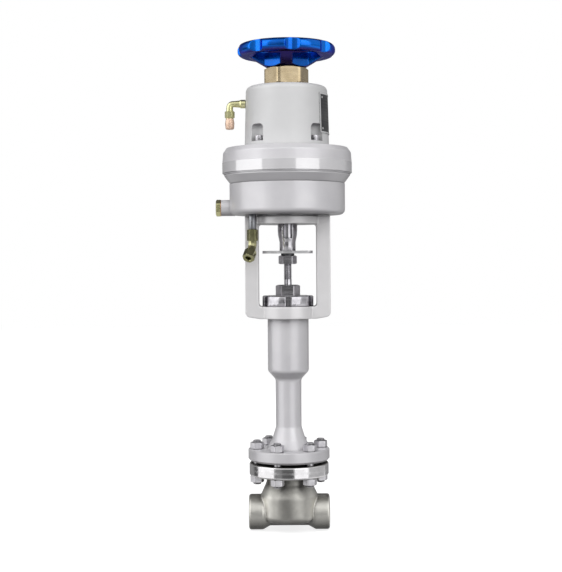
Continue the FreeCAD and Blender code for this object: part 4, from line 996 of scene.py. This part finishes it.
BLOCK_FLATS = 14.2 * MM
BLOCK_HEIGHT = 17 * MM
NECK_INTO_BLOCK = 1 * MM
ARM_INTO_UNION = 4 * MM
FORGING_BEND = 13 * MM
FORGING_RADIUS = 6.2 * MM
FORGING_SIDES = 8
nipple_low, nipple_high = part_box("air_inlet_nipple")
inlet = Vector(((nipple_low.x + nipple_high.x) / 2, (nipple_low.y + nipple_high.y) / 2, 0))
block_foot = levels("air_inlet_elbow")[1] - BLOCK_HEIGHT
sideways = Vector((tube_axis.x, tube_axis.y, 0))
run = (tube_mouth - inlet).dot(sideways.normalized())
bend = inlet + UP * (tube_mouth.z - tube_axis.z / sideways.length * run)
forging = bend_path([inlet + UP * (block_foot + NECK_INTO_BLOCK), bend,
                     nut_foot + tube_axis * ARM_INTO_UNION], FORGING_BEND)
tube = sweep_mesh("forging", forging, [FORGING_RADIUS] * len(forging), sideways.cross(UP).normalized(),
                  segments=FORGING_SIDES)
block = moved(hex_mesh("block", BLOCK_FLATS, BLOCK_HEIGHT, slope=0.6), inlet + UP * block_foot)
make_piece("air_inlet_elbow_detail", joined("air_inlet_elbow", [tube, block]), "air_inlet_elbow")

# A bare name plate on the spring housing, with a raised rim and four rivets

PLATE_FROM = math.radians(51)
PLATE_TO = math.radians(110)
PLATE_LOW = 20 * MM
PLATE_HIGH = 79 * MM
PLATE_THICKNESS = 0.5 * MM
PLATE_SINK = 0.2 * MM
PLATE_COLUMNS = 32
RIM_WIDTH = 2.2 * MM
HOUSING_DRAFT = 2.5 * MM
RIVET_RADIUS = 1.6 * MM
RIVET_SHOULDER = (1.5 * MM, 0.5 * MM, 0.3 * MM)
RIVET_HEIGHT = 1 * MM
housing_foot = node_radius("spring_housing")


def on_housing(turn, height, out):
    """A place on the housing's wall: its angle from the front, height above the foot, and stand-off."""
    reach = housing_foot - HOUSING_DRAFT * height / (housing_high.z - housing_low.z) + out
    return Vector((STEM_X + reach * math.sin(turn), -reach * math.cos(turn), housing_low.z + height))


def plate_mesh(name, start, end, low, high, inner, outer, columns=PLATE_COLUMNS):
    """A thin curved sheet between two stand-offs."""
    section = ((low, inner), (low, outer), (high, outer), (high, inner))
    turns = [start + (end - start) * step / columns for step in range(columns + 1)]
    return bar_mesh(name, [
        [on_housing(turn, height, out) for height, out in section] for turn in turns])


rim_turn = RIM_WIDTH / housing_foot
rim_low, rim_high = PLATE_LOW + RIM_WIDTH, PLATE_HIGH - RIM_WIDTH
sheet = plate_mesh("sheet", PLATE_FROM, PLATE_TO, PLATE_LOW, PLATE_HIGH, -PLATE_SINK, PLATE_THICKNESS)
rim = [
    plate_mesh("bar", start, end, low, high, 0, PLATE_THICKNESS * 2, columns)
    for start, end, low, high, columns in (
        (PLATE_FROM, PLATE_TO, PLATE_LOW, rim_low, PLATE_COLUMNS),
        (PLATE_FROM, PLATE_TO, rim_high, PLATE_HIGH, PLATE_COLUMNS),
        (PLATE_FROM, PLATE_FROM + rim_turn, rim_low, rim_high, 2),
        (PLATE_TO - rim_turn, PLATE_TO, rim_low, rim_high, 2))]
for turn in (PLATE_FROM + 3 * rim_turn, PLATE_TO - 3 * rim_turn):
    for height in (PLATE_LOW + 3 * RIM_WIDTH, PLATE_HIGH - 3 * RIM_WIDTH):
        rivet = lathe_mesh("rivet", [(0, 0), (RIVET_RADIUS, 0), RIVET_SHOULDER, (0, RIVET_HEIGHT)], 24)
        away = Vector((math.sin(turn), -math.cos(turn), 0))
        rim.append(laid(rivet, on_housing(turn, height, PLATE_THICKNESS), away))
make_piece("name_plate", sheet, slot="aluminium", body="root")
make_piece("name_plate_rim", joined("name_plate_rim", rim), slot="aluminium", body="root")

# Pieces whose finish differs from the rest of their slot

for name, finish in (("drive_nut_detail", "warm_brass"), ("breather_elbow_detail", "pale_brass"),
                     ("fusible_plug_detail", "pale_brass"), ("bonnet_nuts_detail", "zinc_steel"),
                     ("body_flange_nuts_detail", "zinc_steel"), ("bonnet_studs_detail", "zinc_steel"),
                     ("name_plate", "dark_plate")):
    bpy.data.objects[name].data.materials[0] = MATERIALS[finish]

# Camera

PHOTO_HEIGHT = 572
SENSOR = 36
FOCAL_PIXELS = 1270
HORIZON_PIXEL = 262
CAMERA_DISTANCE = 1895 * MM
CAMERA_LEVEL = 372 * MM
CAMERA_SIDE = -10 * MM
CAMERA_ROLL = math.radians(0.4)

camera_data = bpy.data.cameras.new("camera")
camera_data.sensor_width = SENSOR
camera_data.lens = SENSOR * FOCAL_PIXELS / PHOTO_HEIGHT
camera_data.shift_y = (HORIZON_PIXEL - PHOTO_HEIGHT / 2) / PHOTO_HEIGHT
camera = bpy.data.objects.new("camera", camera_data)
camera.location = (STEM_X + CAMERA_SIDE, -CAMERA_DISTANCE, CAMERA_LEVEL)
camera.rotation_euler = (QUARTER_TURN, CAMERA_ROLL, 0)
bpy.context.scene.collection.objects.link(camera)
bpy.context.scene.camera = camera
bpy.context.scene.view_settings.view_transform = "Standard"

# Lamps: place from the foot of the stem axis, width, height, watts

LAMPS = {
    "left_box": ((-1.35, -0.95, 1.3), 0.9, 1.2, 12),
    "right_box": ((0.80, -1.25, 1.3), 0.7, 1.2, 7),
    "top_box": ((0, -0.2, 2.1), 1.6, 1.2, 1),
    "back_box": ((0.2, 1.7, 1.1), 1.4, 1.2, 9),
}


def soft_box(name, place, width, height, power):
    """A lamp that faces the middle of the object and isn't mirrored in it."""
    data = bpy.data.lights.new(name, "AREA")
    data.shape = "RECTANGLE"
    data.size = width
    data.size_y = height
    data.energy = power
    light = bpy.data.objects.new(name, data)
    light.location = STEM + Vector(place)
    towards = STEM + UP * CAMERA_LEVEL - light.location
    light.rotation_euler = towards.to_track_quat("-Z", "Y").to_euler()
    light.visible_glossy = False
    bpy.context.scene.collection.objects.link(light)


for name, looks in LAMPS.items():
    soft_box(name, *looks)


def ray_kinds(tree):
    """Two shares: 1 for rays from the camera or through glass, and 1 for mirrored rays."""
    path = add_node(tree, "ShaderNodeLightPath").outputs
    direct = number_from(tree, "MAXIMUM", path["Is Camera Ray"], path["Is Transmission Ray"])
    return direct, path["Is Glossy Ray"]


# What polished metal mirrors: (round from the camera, up, soft edge, strength), in degrees.
# Round goes towards the right of the picture.
STUDIO = [
    ((-120, 120), (6, 62), 6, 0.34),
    ((-180, -125), (-30, 18), 5, 0.20),
    ((125, 180), (-30, 18), 5, 0.20),
    ((-100, -47), (-16, 52), 4, 1.25),
    ((17, 56), (-16, 52), 4, 1.2),
    ((60, 126), (-40, 60), 6, 0.22),
    ((60, 126), (-40, -3), 4, 0.20),
    ((-50, 50), (20, 70), 8, 0.36),
    ((-46, -24), (-30, 40), 6, 0.14),
    ((-180, 180), (-90, -18), 8, 0.37),
]
STUDIO_GROUND = 0.10

# What matt surfaces gather from the front, from the sides and from the ground
FRONT_LIGHT = 1.85
SIDE_LIGHT = 0.32
GROUND_LIGHT = 0.22

world = bpy.data.worlds.new("studio")
bpy.context.scene.world = world
world.use_nodes = True
tree = world.node_tree
tree.nodes.clear()
direct, glossy = ray_kinds(tree)
direction = axes(tree, add_node(tree, "ShaderNodeTexCoord").outputs["Generated"])
toward = product(tree, direction["Y"], -1)
degrees = math.degrees(1)
round_degrees = product(tree, number_from(tree, "ARCTAN2", direction["X"], toward), degrees)
up_degrees = product(tree, number_from(tree, "ARCSINE", direction["Z"]), degrees)
panels = [STUDIO_GROUND]
for (start, end), (low, high), edge, strength in STUDIO:
    across = between(tree, round_degrees, start, end, edge)
    upward = between(tree, up_degrees, low, high, edge)
    panels.append(product(tree, product(tree, across, upward), strength))
ahead = number_from(tree, "MAXIMUM", toward, 0)
gathered = blend(tree, product(tree, ahead, ahead), SIDE_LIGHT, FRONT_LIGHT)
unseen_light = blend(tree, glossy, gathered, total(tree, panels))
background = add_node(tree, "ShaderNodeBackground", {
    "Color": (1, 1, 1, 1), "Strength": blend(tree, direct, unseen_light, 1.0)})
add_node(tree, "ShaderNodeOutputWorld", {"Surface": background.outputs[0]})

# Floor: white with the object's shadow to the camera, absent from mirrored rays

FLOOR_LEVEL = cad_box[0].z - 0.5 * MM
FLOOR_SIZE = 12
FLOOR_GLOW = 1.9
FLOOR_GLOW_SHARE = 0.4
floor_mesh = bpy.data.meshes.new("floor")
half = FLOOR_SIZE / 2
floor_corners = [(-half, -half), (half, -half), (half, half), (-half, half)]
floor_mesh.from_pydata([(x, y, FLOOR_LEVEL) for x, y in floor_corners], [], [(0, 1, 2, 3)])
floor = bpy.data.objects.new("floor", floor_mesh)
bpy.context.scene.collection.objects.link(floor)
floor_material, tree, shader = new_material(
    "pale_floor", Base_Color=(0.86, 0.86, 0.86, 1), Roughness=0.6)
direct, glossy = ray_kinds(tree)
glow = add_node(tree, "ShaderNodeEmission", {
    "Color": (1, 1, 1, 1), "Strength": blend(tree, direct, GROUND_LIGHT, FLOOR_GLOW)}).outputs[0]
floor_mix = add_node(tree, "ShaderNodeMixShader", {
    0: blend(tree, direct, 1.0, FLOOR_GLOW_SHARE), 1: shader.outputs[0], 2: glow}).outputs[0]
unseen = add_node(tree, "ShaderNodeBsdfTransparent").outputs[0]
floor_look = add_node(tree, "ShaderNodeMixShader", {0: glossy, 1: floor_mix, 2: unseen}).outputs[0]
tree.links.new(floor_look, tree.nodes["Material Output"].inputs["Surface"])
floor_mesh.materials.append(floor_material)
